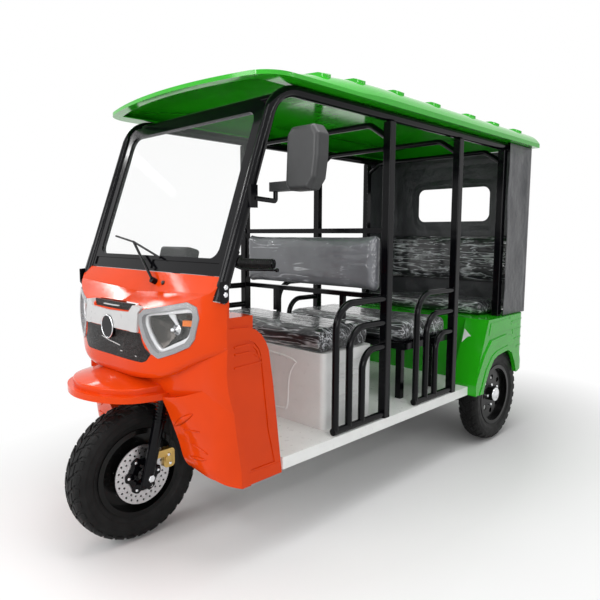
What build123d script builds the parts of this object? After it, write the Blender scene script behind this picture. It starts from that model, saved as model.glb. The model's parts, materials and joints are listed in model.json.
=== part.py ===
"""Electric passenger rickshaw: one steered front wheel, a driver's seat, two benches and a roof.

Sizes are in millimetres. Places are measured from the rear axle's foot: x forward along the middle
plane, y to the left, z up from the ground. spot() carries them into the part's own frame, whose
origin is on the ground under the middle of the overall box.
"""
import os
from math import atan, cos, degrees, radians, sin

from build123d import *

os.makedirs("parts", exist_ok=True)

# Fits
touch_gap = 0.3
running_gap = 0.05
sheet = 5

# Wheels
wheelbase = 1934
half_track = 455
tyre_radius = 256
tyre_half_width = 51
bead_radius = 152
rim_flange_radius = 165
rim_half_width = 41
rim_wall = 6
hub_radius = 38
hub_half_length = 46
axle_radius = 10
web_hole_radius = 14
web_hole_circle = 95
disc_radius = 110
disc_inner_radius = 64
disc_thickness = 4
disc_y = 57

# Overall reach: the front tyre leads, the roof trails, the mirror stands out on the left
nose_reach = wheelbase + tyre_radius
tail_reach = 365
roof_half_width = 530
mirror_reach = 690
axle_x = (tail_reach - nose_reach) / 2
middle_y = (roof_half_width - mirror_reach) / 2

# Steering
rake = 15
fork_leg_y = 94
slider_radius = 22
stanchion_radius = 16
boot_radius = 25
slider_length = 200
yoke_low = 282
yoke_thick = 24
yoke_half_width = 118
yoke_half_depth = 30
stem_radius = 15
head_low = 345
head_length = 150
head_radius = 27
head_web = 18
bar_height = 748
bar_radius = 11
bar_pullback = 136
bar_rise = 30
grip_y = 215
grip_length = 141
grip_sweep = 55
grip_radius = 17
clamp_wall = 6
lever_reach = 44
lever_drop = 20
pod_half_width = 100
pod_height = 54
hose_radius = 3.5
caliper_thick = 15

# Deck and chassis
deck_top = 348
deck_thickness = 44
deck_rear = 282
deck_neck_rear = 150
deck_setback = 312
deck_front = wheelbase - deck_setback
body_half_width = 478.5
rail_y = 260
rail_width = 50
rail_height = 60
kick_up_height = 57
axle_tube_radius = 30
spring_thick = 14
spring_width = 50
spring_eye_radius = 15
spring_pin_radius = 8
battery_top = 570
bulkhead_thick = 8
bulkhead_top = 600
bulkhead_half_width = 430

# Posts, rails and guards
post_size = 38
post_xs = {"b": 997, "c": 429, "d": -50}
tube_radius = 20
guard_radius = 14.5
guard_top = 880
guard_reach = 338
guard_step_down = 102
guard_step_back = 83

# Roof, and the rails that hang under it
roof_crown = 1750
roof_drop_to_rail = 116
rail_top = roof_crown - roof_drop_to_rail
rib_height = 12
rib_half_width = 22
rib_half_length = 482
roof_lip = 22
roof_shoulder_y = 446
roof_shoulder_drop = 20
roof_flange_y = 438
roof_front_setback = 136
roof_front = wheelbase - roof_front_setback
roof_corner_x = roof_front - 82
roof_corner = 120
roof_bend_x = 1050
roof_front_drop = 92

# Nose
nose_overhang = 80
nose_front = wheelbase + nose_overhang
nose_rear = wheelbase - 77
nose_wall = 8
leg_low = 293
arch_half_width = 237
arch_top = 577
bill_reach = wheelbase + 214
bill_low = 577
bill_band = 22
bill_wall = 5
panel_inset = 6
panel_thick = 12

# Windscreen
screen_foot_x = wheelbase - 72
screen_foot_z = 999
screen_lean = 0.35
pillar_foot_z = 920
screen_head_gap = 14
screen_border = 40
screen_low_border = 58
screen_thick = 18
glass_thick = 5
wiper_radius = 5
wiper_ahead = 20
wiper_y = 95

# Rear tub and canvas
tub_half_width = 530
tub_top = 690
tub_rear = 335
tub_low = 369
tub_corner = 110
fender_skin = 12
well_radius = 272
well_inner_y = 385
riser_x = 150
canvas_thick = 4
canvas_y = 490
canvas_front = -62
canvas_rear = 345
window_half_width = 250
window_low = 1225
window_high = 1435

# Seats
seat_box_rear = 1000
seat_box_front = 1318
seat_box_half_width = 394
seat_box_top = 661
seat_box_wall = 6
seat_box_corner = 24
cushion_thick = 92
cushion_half_width = 400
bench_rear = 350
bench_front = 760
bench_low = 628
back_low = 882
back_high = 1140
back_bar = 22

# Mirror
mirror_setback = 274
mirror_x = wheelbase - mirror_setback
mirror_inner = 555
mirror_height = 197
mirror_depth = 52
arm_z = 1252


def spot(x, y, z):
    return (axle_x + x, middle_y + y, z)


def level(z):
    return Plane(origin=spot(0, 0, z))


def lengthwise(y):
    return Plane(origin=spot(0, y, 0), x_dir=(1, 0, 0), z_dir=(0, -1, 0))


def across(x):
    return Plane(origin=spot(x, 0, 0), x_dir=(0, 1, 0), z_dir=(1, 0, 0))


def slab(low, high, mode=Mode.ADD):
    """A block between two opposite corners, in the part that is being built."""
    size = [b - a for a, b in zip(low, high)]
    with Locations(spot(*low)):
        Box(*size, align=(Align.MIN, Align.MIN, Align.MIN), mode=mode)


def keep(piece, name):
    piece.part.label = name
    export_step(piece.part, f"parts/{name}.step")


def tube(points, radius, bends):
    """A round tube along straight runs joined by tangent arcs."""
    with BuildPart() as bent:
        with BuildLine() as path:
            if len(points) > 2:
                FilletPolyline(*[spot(*p) for p in points], radius=bends)
            else:
                Line(spot(*points[0]), spot(*points[1]))
        with BuildSketch(Plane(origin=path.line @ 0, z_dir=path.line % 0)):
            Circle(radius)
        sweep(path=path.line)
    return bent


def joined(*pieces):
    """Several built pieces as one."""
    with BuildPart() as whole:
        for piece in pieces:
            add(piece.part)
    return whole


def prism(plane, points, amount, both=False):
    """A straight-sided outline drawn on a plane and given a thickness."""
    with BuildPart() as block:
        with BuildSketch(plane):
            with BuildLine():
                Polyline(*points, close=True)
            make_face()
        extrude(amount=amount, both=both)
    return block


def side_slab(side, low, high, mode=Mode.ADD):
    """A block given by two corners on the left side, or its mirror image on the right."""
    near, far = sorted((side * low[1], side * high[1]))
    slab((low[0], near, low[2]), (high[0], far, high[2]), mode)


side_y = body_half_width - post_size / 2


def pillar_x(z):
    """Where the middle of a windscreen pillar lies at a height."""
    return screen_foot_x - 8 - screen_lean * (z - screen_foot_z)


# Wheels ------------------------------------------------------------------------------------------

def wheel_axis(x, y):
    return Axis(spot(x, y, tyre_radius), (0, 1, 0))


def build_tyre(x, y):
    shoulder = (tyre_half_width - 8, tyre_radius - 12)
    bulge = (tyre_half_width, (bead_radius + tyre_radius) / 2 + 2)
    lip = (rim_half_width - touch_gap, rim_flange_radius + 1)
    bead = (rim_half_width - touch_gap, bead_radius + touch_gap)
    with BuildPart() as tyre:
        with BuildSketch(Plane(origin=spot(x, y, tyre_radius), x_dir=(0, 1, 0), z_dir=(1, 0, 0))):
            with BuildLine():
                ThreePointArc((-shoulder[0], shoulder[1]), (0, tyre_radius), shoulder)
                ThreePointArc(shoulder, bulge, lip)
                Polyline(lip, bead, (-bead[0], bead[1]), (-lip[0], lip[1]))
                ThreePointArc((-lip[0], lip[1]), (-bulge[0], bulge[1]), (-shoulder[0], shoulder[1]))
            make_face()
        revolve(axis=wheel_axis(x, y))
    return tyre


def build_rim(x, y, web_y):
    """A steel rim with a dished web, a hub and a live axle bore."""
    barrel = bead_radius - rim_wall
    with BuildPart() as rim:
        with BuildSketch(Plane(origin=spot(x, y, tyre_radius), x_dir=(0, 1, 0), z_dir=(1, 0, 0))):
            with Locations((0, barrel + rim_wall / 2)):
                Rectangle(2 * rim_half_width, rim_wall)
            with Locations((rim_half_width + 2, barrel + (rim_flange_radius - barrel) / 2)):
                Rectangle(4, rim_flange_radius - barrel)
            with Locations((-rim_half_width - 2, barrel + (rim_flange_radius - barrel) / 2)):
                Rectangle(4, rim_flange_radius - barrel)
            with Locations((web_y, hub_radius - 4 + (barrel - hub_radius + 6) / 2)):
                Rectangle(rim_wall, barrel - hub_radius + 6)
            with Locations((0, (hub_radius + axle_radius) / 2)):
                Rectangle(2 * hub_half_length, hub_radius - axle_radius)
        revolve(axis=wheel_axis(x, y))
        with Locations(Location(spot(x, y + web_y, tyre_radius), (90, 0, 0))):
            with PolarLocations(web_hole_circle, 8):
                Cylinder(web_hole_radius, 4 * rim_wall, mode=Mode.SUBTRACT)
    return rim


keep(build_tyre(wheelbase, 0), "front_tyre")
keep(build_rim(wheelbase, 0, 0), "front_rim")
for side, word in ((1, "left"), (-1, "right")):
    keep(build_tyre(0, side * half_track), f"rear_tyre_{word}")
    keep(build_rim(0, side * half_track, side * 18), f"rear_rim_{word}")

with BuildPart() as brake_disc:
    with BuildSketch(Plane(origin=spot(wheelbase, 0, tyre_radius), x_dir=(0, 1, 0), z_dir=(1, 0, 0))):
        with Locations((disc_y + disc_thickness / 2, (disc_radius + disc_inner_radius) / 2)):
            Rectangle(disc_thickness, disc_radius - disc_inner_radius)
        with Locations(((hub_half_length + disc_y) / 2 + 2, (disc_inner_radius + axle_radius) / 2 + 4)):
            Rectangle(disc_y - hub_half_length - 4, disc_inner_radius - axle_radius + 2)
        with Locations(((hub_half_length + disc_y) / 2, (hub_radius + axle_radius) / 2)):
            Rectangle(disc_y - hub_half_length, hub_radius - axle_radius)
    revolve(axis=wheel_axis(wheelbase, 0))
    with Locations(Location(spot(wheelbase, disc_y, tyre_radius), (90, 0, 0))):
        with PolarLocations(disc_radius - 12, 24):
            Cylinder(4, 4 * disc_thickness, mode=Mode.SUBTRACT)
        with PolarLocations(disc_radius - 28, 24, start_angle=7.5):
            Cylinder(4, 4 * disc_thickness, mode=Mode.SUBTRACT)
keep(brake_disc, "brake_disc")


# Steering ----------------------------------------------------------------------------------------

def along(s, y=0, ahead=0):
    """The point s up the raked steering axis from the front hub, y to the left and ahead of it."""
    x = wheelbase - s * sin(radians(rake)) + ahead * cos(radians(rake))
    z = tyre_radius + s * cos(radians(rake)) + ahead * sin(radians(rake))
    return (x, y, z)


def steer_plane(s):
    """A plane square to the steering axis: local x ahead, local y to the left."""
    up = (-sin(radians(rake)), 0, cos(radians(rake)))
    ahead = (cos(radians(rake)), 0, sin(radians(rake)))
    return Plane(origin=spot(*along(s)), x_dir=ahead, z_dir=up)


boot_folds = 7
with BuildPart() as fork:
    with BuildSketch(steer_plane(yoke_low)):
        RectangleRounded(2 * yoke_half_depth, 2 * yoke_half_width, 20)
    extrude(amount=yoke_thick)
    with BuildSketch(steer_plane(-30)):
        with Locations((0, fork_leg_y), (0, -fork_leg_y)):
            Circle(slider_radius)
    extrude(amount=slider_length + 30)
    with BuildSketch(steer_plane(slider_length)):
        with Locations((0, fork_leg_y), (0, -fork_leg_y)):
            Circle(stanchion_radius)
    extrude(amount=yoke_low - slider_length + 6)
    fold = (yoke_low - slider_length) / boot_folds
    for step in range(boot_folds):
        with BuildSketch(steer_plane(slider_length + (step + 0.2) * fold)):
            with Locations((0, fork_leg_y), (0, -fork_leg_y)):
                Circle(boot_radius)
        extrude(amount=0.5 * fold)
    with BuildSketch(steer_plane(yoke_low + yoke_thick / 2)):
        Circle(stem_radius)
    extrude(amount=bar_height - yoke_low - yoke_thick / 2)
    with Locations(Location(spot(wheelbase, 0, tyre_radius), (90, 0, 0))):
        Cylinder(axle_radius - running_gap, 2 * (fork_leg_y + slider_radius + 8))
keep(fork, "fork")

bar_centre = along(bar_height + clamp_wall + bar_radius)
grip_root = (bar_centre[0] - bar_pullback, grip_y, bar_centre[2] + bar_rise)
grip_slope = (-grip_sweep / grip_length, (1 - (grip_sweep / grip_length) ** 2) ** 0.5, 0)


def on_grip(run, ahead=0, up=0):
    """A point run along the left grip, ahead of its axis and above it."""
    x = grip_root[0] + run * grip_slope[0] + ahead * grip_slope[1]
    y = grip_root[1] + run * grip_slope[1] - ahead * grip_slope[0]
    return (x, y, grip_root[2] + up)


cylinder_low = -14
cylinder_height = 36


def build_handlebar():
    half = [
        on_grip(grip_length),
        on_grip(0),
        (bar_centre[0] - 15, 110, bar_centre[2] + bar_rise / 2),
        (bar_centre[0], 50, bar_centre[2]),
    ]
    path = half + [(x, -y, z) for x, y, z in reversed(half)]
    pieces = [tube(path, bar_radius, 24)]
    for side in (1, -1):
        run = [on_grip(10), on_grip(grip_length + 4)]
        pieces.append(tube([(x, side * y, z) for x, y, z in run], grip_radius, 0))
    lever = [on_grip(-6, 12), on_grip(6, lever_reach - 6, -lever_drop / 2),
             on_grip(40, lever_reach, -lever_drop), on_grip(grip_length + 32, lever_reach - 6, -lever_drop)]
    pieces.append(tube(lever, 4.5, 8))
    with BuildPart() as clamp:
        with BuildSketch(steer_plane(bar_height)):
            RectangleRounded(52, 84, 12)
        extrude(amount=2 * (bar_radius + clamp_wall))
        with Locations(spot(*on_grip(-18, 6, cylinder_low + cylinder_height / 2))):
            Box(46, 30, cylinder_height)
        with Locations(spot(*on_grip(-18, 8, 24))):
            Box(52, 40, 14)
        with Locations(spot(*on_grip(grip_length + 32, lever_reach - 6, -lever_drop))):
            Sphere(8)
    return joined(*pieces, clamp)


keep(build_handlebar(), "handlebar")

pod_foot = bar_height + 2 * (bar_radius + clamp_wall) + touch_gap
with BuildPart() as dash_pod:
    with BuildSketch(steer_plane(pod_foot)):
        RectangleRounded(40, 60, 8)
    extrude(amount=20)
    with BuildSketch(steer_plane(pod_foot + 16)):
        RectangleRounded(62, 2 * pod_half_width, 22)
    extrude(amount=pod_height)
    fillet(dash_pod.edges().sort_by(Axis.Z)[-5:], 12)
keep(dash_pod, "dash_pod")

caliper_y = disc_y + disc_thickness / 2
with BuildPart() as brake_caliper:
    with BuildSketch(Plane(origin=spot(*along(62, caliper_y, -92)), x_dir=(1, 0, 0), z_dir=(0, -1, 0))):
        RectangleRounded(46, 72, 14)
    extrude(amount=caliper_thick, both=True)
    with Locations(Location(spot(wheelbase, caliper_y, tyre_radius), (90, 0, 0))):
        Cylinder(disc_radius + 1, disc_thickness + 2 * touch_gap, mode=Mode.SUBTRACT)
    with BuildSketch(Plane(origin=spot(*along(78, caliper_y + 9, -60)), x_dir=(1, 0, 0), z_dir=(0, -1, 0))):
        Rectangle(60, 26)
    extrude(amount=-8)
    with BuildSketch(steer_plane(0)):
        with Locations((0, fork_leg_y)):
            Circle(slider_radius + touch_gap)
    extrude(amount=slider_length, mode=Mode.SUBTRACT)
keep(brake_caliper, "brake_caliper")

hose_points = [along(100.6, caliper_y, -92), along(150, caliper_y + 6, -84), along(200, fork_leg_y, -50),
               along(270, fork_leg_y, -yoke_half_depth - hose_radius - touch_gap),
               along(yoke_low + yoke_thick + 40, fork_leg_y, -yoke_half_depth - hose_radius - touch_gap),
               along(560, 84, -46), along(690, 150, -60), on_grip(-24, 14, cylinder_low - 46),
               on_grip(-24, 14, cylinder_low - touch_gap)]
keep(tube(hose_points, hose_radius, 18), "brake_hose")


# Chassis and deck --------------------------------------------------------------------------------

deck_low = deck_top - deck_thickness
with BuildPart() as floor_deck:
    slab((deck_rear, -body_half_width, deck_low), (deck_front, body_half_width, deck_top))
    slab((deck_neck_rear, -well_inner_y, deck_low), (deck_rear, well_inner_y, deck_top))
keep(floor_deck, "floor_deck")

kick_up_low = deck_top - kick_up_height
spring_y = rail_y + rail_width / 2 + 3 + spring_width / 2
spring_ends = [(-300, 296), (290, 262)]
with BuildPart() as chassis_frame:
    frame_top = deck_low - touch_gap
    frame_low = frame_top - rail_height
    for side in (1, -1):
        inner = side * rail_y - rail_width / 2
        outer = side * rail_y + rail_width / 2
        slab((60, inner, frame_low), (deck_front - 10, outer, frame_top))
        slab((-tub_rear + 12, inner, kick_up_low), (deck_neck_rear - touch_gap, outer, deck_top))
        for x, z in spring_ends:
            with Locations(Location(spot(x, side * (spring_y - 2), z), (90, 0, 0))):
                Cylinder(spring_pin_radius, spring_width + 6)
    for x in (260, 700, 1150, deck_front - 42):
        slab((x, -rail_y, frame_low + 10), (x + 40, rail_y, frame_top - 10))
    slab((-tub_rear + 12, -rail_y, kick_up_low + 8), (-tub_rear + 52, rail_y, deck_top - 8))
keep(chassis_frame, "chassis_frame")

bulkhead_x = deck_front + touch_gap + bulkhead_thick
panel_outer = body_half_width - panel_inset
with BuildPart() as bulkhead:
    slab((bulkhead_x - bulkhead_thick, -bulkhead_half_width, deck_low),
         (bulkhead_x, bulkhead_half_width, bulkhead_top))
keep(bulkhead, "bulkhead")

head_top = along(head_low + head_length - 20)
head_foot = along(head_low + 10)
with BuildPart() as steering_head:
    with BuildSketch(steer_plane(head_low)):
        Circle(head_radius)
    extrude(amount=head_length)
    with BuildSketch(lengthwise(0)):
        with BuildLine():
            Polyline((bulkhead_x + touch_gap, deck_top + 32), (bulkhead_x + touch_gap, bulkhead_top - 10),
                     (head_top[0], head_top[2]), (head_foot[0], head_foot[2]),
                     (bulkhead_x + 30, deck_top + 32), close=True)
        make_face()
    extrude(amount=head_web, both=True)
    with BuildSketch(steer_plane(head_low - 1)):
        Circle(stem_radius + running_gap)
    extrude(amount=head_length + 2, mode=Mode.SUBTRACT)
keep(steering_head, "steering_head")

with BuildPart() as rear_axle:
    with Locations(Location(spot(0, 0, tyre_radius), (90, 0, 0))):
        Cylinder(axle_tube_radius, 2 * (half_track - hub_half_length - 2))
        Cylinder(axle_radius - running_gap, 2 * (half_track + hub_half_length))
        Cylinder(78, 130)
    slab((20, -80, tyre_radius - 78), (215, 80, frame_top - 6))
keep(rear_axle, "rear_axle")

with BuildPart() as leaf_springs:
    spring_top = tyre_radius - axle_tube_radius - touch_gap
    for side in (1, -1):
        with BuildSketch(lengthwise(side * spring_y)):
            with BuildLine():
                lower = [(x, z - 12) for x, z in spring_ends]
                upper = [(x, z - 12 + spring_thick) for x, z in spring_ends]
                ThreePointArc(lower[0], (0, spring_top - spring_thick), lower[1])
                Line(lower[1], upper[1])
                ThreePointArc(upper[1], (0, spring_top), upper[0])
                Line(upper[0], lower[0])
            make_face()
        extrude(amount=spring_width / 2, both=True)
        for x, z in spring_ends:
            with Locations(Location(spot(x, side * spring_y, z), (90, 0, 0))):
                Cylinder(spring_eye_radius, spring_width)
                Cylinder(spring_pin_radius + touch_gap, spring_width + 10, mode=Mode.SUBTRACT)
keep(leaf_springs, "leaf_springs")

with BuildPart() as battery_pack:
    slab((-260, -300, deck_top + 2 * touch_gap), (100, 300, battery_top))
keep(battery_pack, "battery_pack")


# Nose --------------------------------------------------------------------------------------------

neck_top = 800
# How far the front lies behind nose_front, at these shares of the half width, height by height
plan_shares = (0, 0.42, 0.67, 0.836, 0.94, 1)
plan_places = [0.5 - share / 2 for share in reversed(plan_shares[1:])]
plan_places += [0.5 + share / 2 for share in plan_shares]
mask_rows = [
    (590, (9, 19, 55, 89, 121, 155)),
    (700, (4, 14, 50, 84, 115, 150)),
    (770, (2, 12, 48, 82, 113, 147)),
    (830, (2, 12, 47, 80, 111, 146)),
    (880, (8, 18, 51, 83, 113, 147)),
    (940, (18, 28, 58, 88, 117, 148)),
    (1020, (33, 43, 67, 96, 124, 153)),
]
neck_rows = [
    (530, (90, 108, 136, 152, 166, 184)),
    (600, (52, 70, 100, 122, 136, 158)),
    (neck_top, (52, 70, 98, 120, 134, 155)),
]
leg_rows = [
    (285, (143, 166, 149, 153, 182, 211)),
    (340, (128, 147, 139, 144, 171, 202)),
    (400, (109, 126, 126, 136, 160, 194)),
    (450, (91, 108, 115, 130, 154, 186)),
    (500, (72, 89, 102, 124, 149, 179)),
    (560, (46, 63, 86, 119, 143, 173)),
    (585, (38, 54, 79, 116, 141, 172)),
    (615, (40, 56, 79, 115, 140, 171)),
    (670, (60, 76, 98, 124, 150, 178)),
]
# The crease under the mask and the top of the legs, from the middle outwards
chin_line = [(0, 640), (100, 641), (200, 648), (250, 656), (300, 673), (370, 712), (440, 744), (600, 790)]
flare_line = [(0, 583), (120, 583), (222, 586), (324, 602), (378, 621), (437, 642), (600, 690)]
chin_round = 26
block_rear = nose_rear - 300


def plan_sketch(height, setbacks, inset):
    """The nose's plan outline at one height, drawn inside the outer one by inset."""
    side = body_half_width - inset
    left = [(nose_front - inset - back, share * side) for share, back in zip(plan_shares, setbacks)]
    front = [(x, -y) for x, y in reversed(left[1:])] + left
    with BuildSketch(level(height)) as outline:
        with BuildLine():
            add(Edge.make_spline([Vector(*point) for point in front], parameters=plan_places))
            Polyline(front[-1], (block_rear, side), (block_rear, -side), front[0])
        make_face()
    return outline.sketch


def plan_block(rows, inset):
    """A block behind the nose's front, through its plan outlines."""
    with BuildPart() as block:
        for height, setbacks in rows:
            add(plan_sketch(height, setbacks, inset))
        loft()
    return block


def crease_prism(line, rise, low):
    """What lies under a front-view crease line, or above it when low is over the line."""
    half = [(y, z + rise) for y, z in line]
    points = [(-y, z) for y, z in reversed(half[1:])] + half
    with BuildPart() as region:
        with BuildSketch(across(block_rear - 10)):
            with BuildLine():
                Spline(*points)
                Polyline(points[-1], (points[-1][0], low), (points[0][0], low), points[0])
            make_face()
        extrude(amount=700)
    return region


hood_half_width = body_half_width
hood_middle = [(0, screen_foot_z), (38, 926), (127, 885), (240, 827)]
hood_side = [(0, screen_foot_z), (41, 950), (111, 905), (240, 822)]
hood_high = 1300


def hood_cut(drop):
    """What lies above the bonnet, lowered by drop: a crease runs across it and dips in the middle."""
    with BuildPart() as above:
        for y, line in ((-hood_half_width, hood_side), (0, hood_middle), (hood_half_width, hood_side)):
            points = [(screen_foot_x + x - 0.4 * drop, z - drop) for x, z in line]
            points += [(points[-1][0], hood_high), (points[0][0], hood_high)]
            with BuildSketch(lengthwise(y)):
                with BuildLine():
                    Polyline(*points, close=True)
                make_face()
        loft(ruled=True)
    return above


def on_hood(ahead, y):
    """The bonnet's height just ahead of the screen's foot."""
    heights = []
    for start, end in (hood_middle[:2], hood_side[:2]):
        heights.append(start[1] + (end[1] - start[1]) * (ahead - start[0]) / (end[0] - start[0]))
    share = y / hood_half_width
    return heights[0] * (1 - share) + heights[1] * share


def front_block(inset):
    """The whole front body as a block, drawn in by inset: mask over the neck over the legs."""
    under_chin = crease_prism(chin_line, inset + (chin_round / 3 if inset else 0), 0)
    over_flare = crease_prism(flare_line, -inset, hood_high)
    hood = hood_cut(inset)
    with BuildPart() as mask:
        add(plan_block(mask_rows, inset).part)
        add(under_chin.part, mode=Mode.SUBTRACT)
        add(hood.part, mode=Mode.SUBTRACT)
        if not inset:
            chin = [edge for edge in mask.edges() if edge.length > 900 and edge.center().Z < neck_top
                    and edge.center().X > axle_x + nose_rear]
            fillet(chin, chin_round)
    with BuildPart() as legs:
        add(plan_block(leg_rows, inset).part)
        add(over_flare.part, mode=Mode.SUBTRACT)
    with BuildPart() as whole:
        add(plan_block(neck_rows, inset).part)
        add(mask.part)
        add(legs.part)
    return whole


def face_outline(points, grow, rounding):
    """A front-view outline with rounded corners, run through the nose's front wall."""
    with BuildPart() as window:
        with BuildSketch(across(nose_rear - 60)) as outline:
            with BuildLine():
                Polyline(*points, close=True)
            make_face()
            fillet(outline.vertices(), rounding)
            if grow:
                offset(amount=grow)
        extrude(amount=400)
    return window


def mirrored(points, side):
    return [(side * y, z) for y, z in points]


lamp_points = [(187, 836), (186, 868), (203, 884), (280, 899), (372, 918), (405, 904), (415, 868), (401,
                                                                                                    802),
               (381, 775), (330, 750), (268, 727), (238, 742), (208, 786)]
lamp_rounding = 9
lamp_border = 17
lamp_depth = 62
lens_out = 6
lens_thick = 3
grille_points = [(-152, 804), (152, 804), (193, 804), (198, 780), (210, 757), (236, 738), (213, 713),
                 (192, 705),
                 (0, 706), (-192, 705), (-213, 713), (-236, 738), (-210, 757), (-198, 780), (-193, 804)]
garnish_points = [(0, 808), (140, 808), (148, 806), (184, 806), (184, 840), (183, 872), (199, 889), (150,
                                                                                                     894),
                  (131, 870), (0, 866)]
slot_points = [(-122, 873), (122, 873), (139, 896), (-139, 896)]
badge_radius = 41
badge_z = 808
screen_low = screen_foot_z - 34
rear_edge = [(1000, 1300), (nose_rear - wheelbase, 1300), (nose_rear - wheelbase, 800), (-82, 671), (-101,
                                                                                                     569),
             (-125, 462), (-146, 381), (-163, 313), (-167, 0), (1000, 0)]


def whole_width(half):
    return half + [(-y, z) for y, z in reversed(half) if y]


outer_front = front_block(0)
inner_front = front_block(nose_wall)
garnish_outline = whole_width(garnish_points)
lamp_windows = [face_outline(mirrored(lamp_points, side), touch_gap, lamp_rounding) for side in (1, -1)]
grille_window = face_outline(grille_points, touch_gap, 3)
garnish_window = face_outline(garnish_outline, touch_gap, 3)
slot_window = face_outline(slot_points, 0, 3)
front_part = prism(lengthwise(0), [(wheelbase + x, z) for x, z in rear_edge], 600, both=True)

leg_foot = whole_width([(0, 322), (arch_half_width, 322), (400, 314), (440, 302), (479, leg_low), (600,
                                                                                                   leg_low),
                        (600, 0)])
under_legs = prism(across(nose_rear - 200), leg_foot, 400)

with BuildPart() as badge_bore:
    with Locations(Location(spot(nose_front - 60, 0, badge_z), (0, 90, 0))):
        Cylinder(badge_radius + touch_gap, 400)

with BuildPart() as nose_cowl:
    add(outer_front.part)
    add(inner_front.part, mode=Mode.SUBTRACT)
    add(front_part.part, mode=Mode.INTERSECT)
    for window in (*lamp_windows, grille_window, garnish_window, slot_window, badge_bore):
        add(window.part, mode=Mode.SUBTRACT)
    slab((nose_rear - 100, -arch_half_width, 0), (nose_front, arch_half_width, arch_top), Mode.SUBTRACT)
    add(under_legs.part, mode=Mode.SUBTRACT)
    slab((nose_rear - 100, -body_half_width, screen_low), (screen_foot_x + 1, body_half_width,
                                                               hood_high),
         Mode.SUBTRACT)
    for side in (1, -1):
        pillar = [(pillar_x(z), side * side_y, z) for z in (pillar_foot_z - 2, screen_foot_z + 20)]
        add(tube(pillar, tube_radius + 1, 0).part, mode=Mode.SUBTRACT)
keep(nose_cowl, "nose_cowl")


def face_piece(window, out, deep):
    """A piece that fills its window in the mask, from deep behind the outer skin to out in front of it."""
    with BuildPart() as piece:
        add(window.part)
        add(mask_skin(-out).part, mode=Mode.INTERSECT)
        add(mask_skin(deep).part, mode=Mode.SUBTRACT)
    return piece


def mask_skin(inset):
    return plan_block(mask_rows, inset)


lamp_floor = mask_skin(lamp_depth - sheet)
lamp_back = nose_rear + touch_gap


def lamp_hollow(points):
    """The bowl inside a headlight: its outline within the border, from the front to its floor."""
    with BuildPart() as hollow:
        add(face_outline(points, -lamp_border, lamp_rounding).part)
        add(lamp_floor.part, mode=Mode.SUBTRACT)
        slab((0, -body_half_width, 0), (lamp_back + sheet, body_half_width, hood_high), Mode.SUBTRACT)
    return hollow


for side, word in ((1, "left"), (-1, "right")):
    points = mirrored(lamp_points, side)
    hollow = lamp_hollow(points)
    housing = face_piece(face_outline(points, 0, lamp_rounding), lens_out - lens_thick - touch_gap,
                         lamp_depth)
    with BuildPart() as headlight:
        add(housing.part)
        slab((0, -body_half_width, 0), (lamp_back, body_half_width, hood_high), Mode.SUBTRACT)
        add(hollow.part, mode=Mode.SUBTRACT)
    keep(headlight, f"headlight_{word}")
    lens = face_piece(face_outline(points, 0, lamp_rounding), lens_out, -(lens_out - lens_thick))
    keep(lens, f"headlight_lens_{word}")

grille_body = face_piece(face_outline(grille_points, 0, 3), 0, 14)
slot_body = face_piece(face_outline(slot_points, -touch_gap, 3), -5, 14)
with BuildPart() as grille_panel:
    add(grille_body.part)
    add(badge_bore.part, mode=Mode.SUBTRACT)
    add(slot_body.part)
keep(grille_panel, "grille_panel")

garnish_body = face_piece(face_outline(garnish_outline, 0, 3), 7, 12)
with BuildPart() as garnish_bar:
    add(garnish_body.part)
    add(badge_bore.part, mode=Mode.SUBTRACT)
keep(garnish_bar, "garnish_bar")

with BuildPart() as badge:
    with Locations(Location(spot(nose_front + 10, 0, badge_z), (0, 90, 0))):
        Cylinder(badge_radius, 24, align=(Align.CENTER, Align.CENTER, Align.MAX))
    face_edge = badge.edges().filter_by(GeomType.CIRCLE).sort_by(Axis.X)[-1]
    chamfer(face_edge, 2)
keep(badge, "badge")


# Legs and mudguard ------------------------------------------------------------------------------

# The side panel, ahead of the deck's front edge: its outline, the ledge inside it and two ribs
panel_front = [(nose_rear - touch_gap + x, z) for x, z in ((0, 833), (0, 800), (-5, 671), (-24, 569),
                                                           (-48, 462),
                                                          (-69, 381), (-86, 313), (-90, leg_low))]
panel_rear = [(touch_gap, leg_low), (8, 352), (25, 491), (44, 637), (62, 744), (74, 772), (94, 800), (120,
                                                                                                      820),
              (150, 831), (200, 833)]
ledge_rear = [(34, 342), (63, 465), (81, 609), (94, 715), (98, 735), (108, 758), (124, 776), (148, 788),
              (178, 792),
              (204, 785)]
rib_lines = [[(100, 722), (112, 752), (128, 766), (150, 774), (206, 770)],
             [(112, 730), (126, 742), (150, 747), (204, 746)],
             [(96, 706), (206, 702)]]
rib_width = 7
ledge_depth = 4
foot_seam = 337
tray_reach = 112
tray_low = 800
tray_top = 868
panel_rear = [(deck_front + x, z) for x, z in panel_rear]
ledge_rear = [(deck_front + x, z) for x, z in ledge_rear]
ledge_front = [(nose_rear - 10, 785)] + [(x - 12, z) for x, z in panel_front[2:-2]] + [(deck_front + 142,
                                                                                        342)]
rib_lines = [[(deck_front + x, z) for x, z in line] for line in rib_lines]

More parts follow.
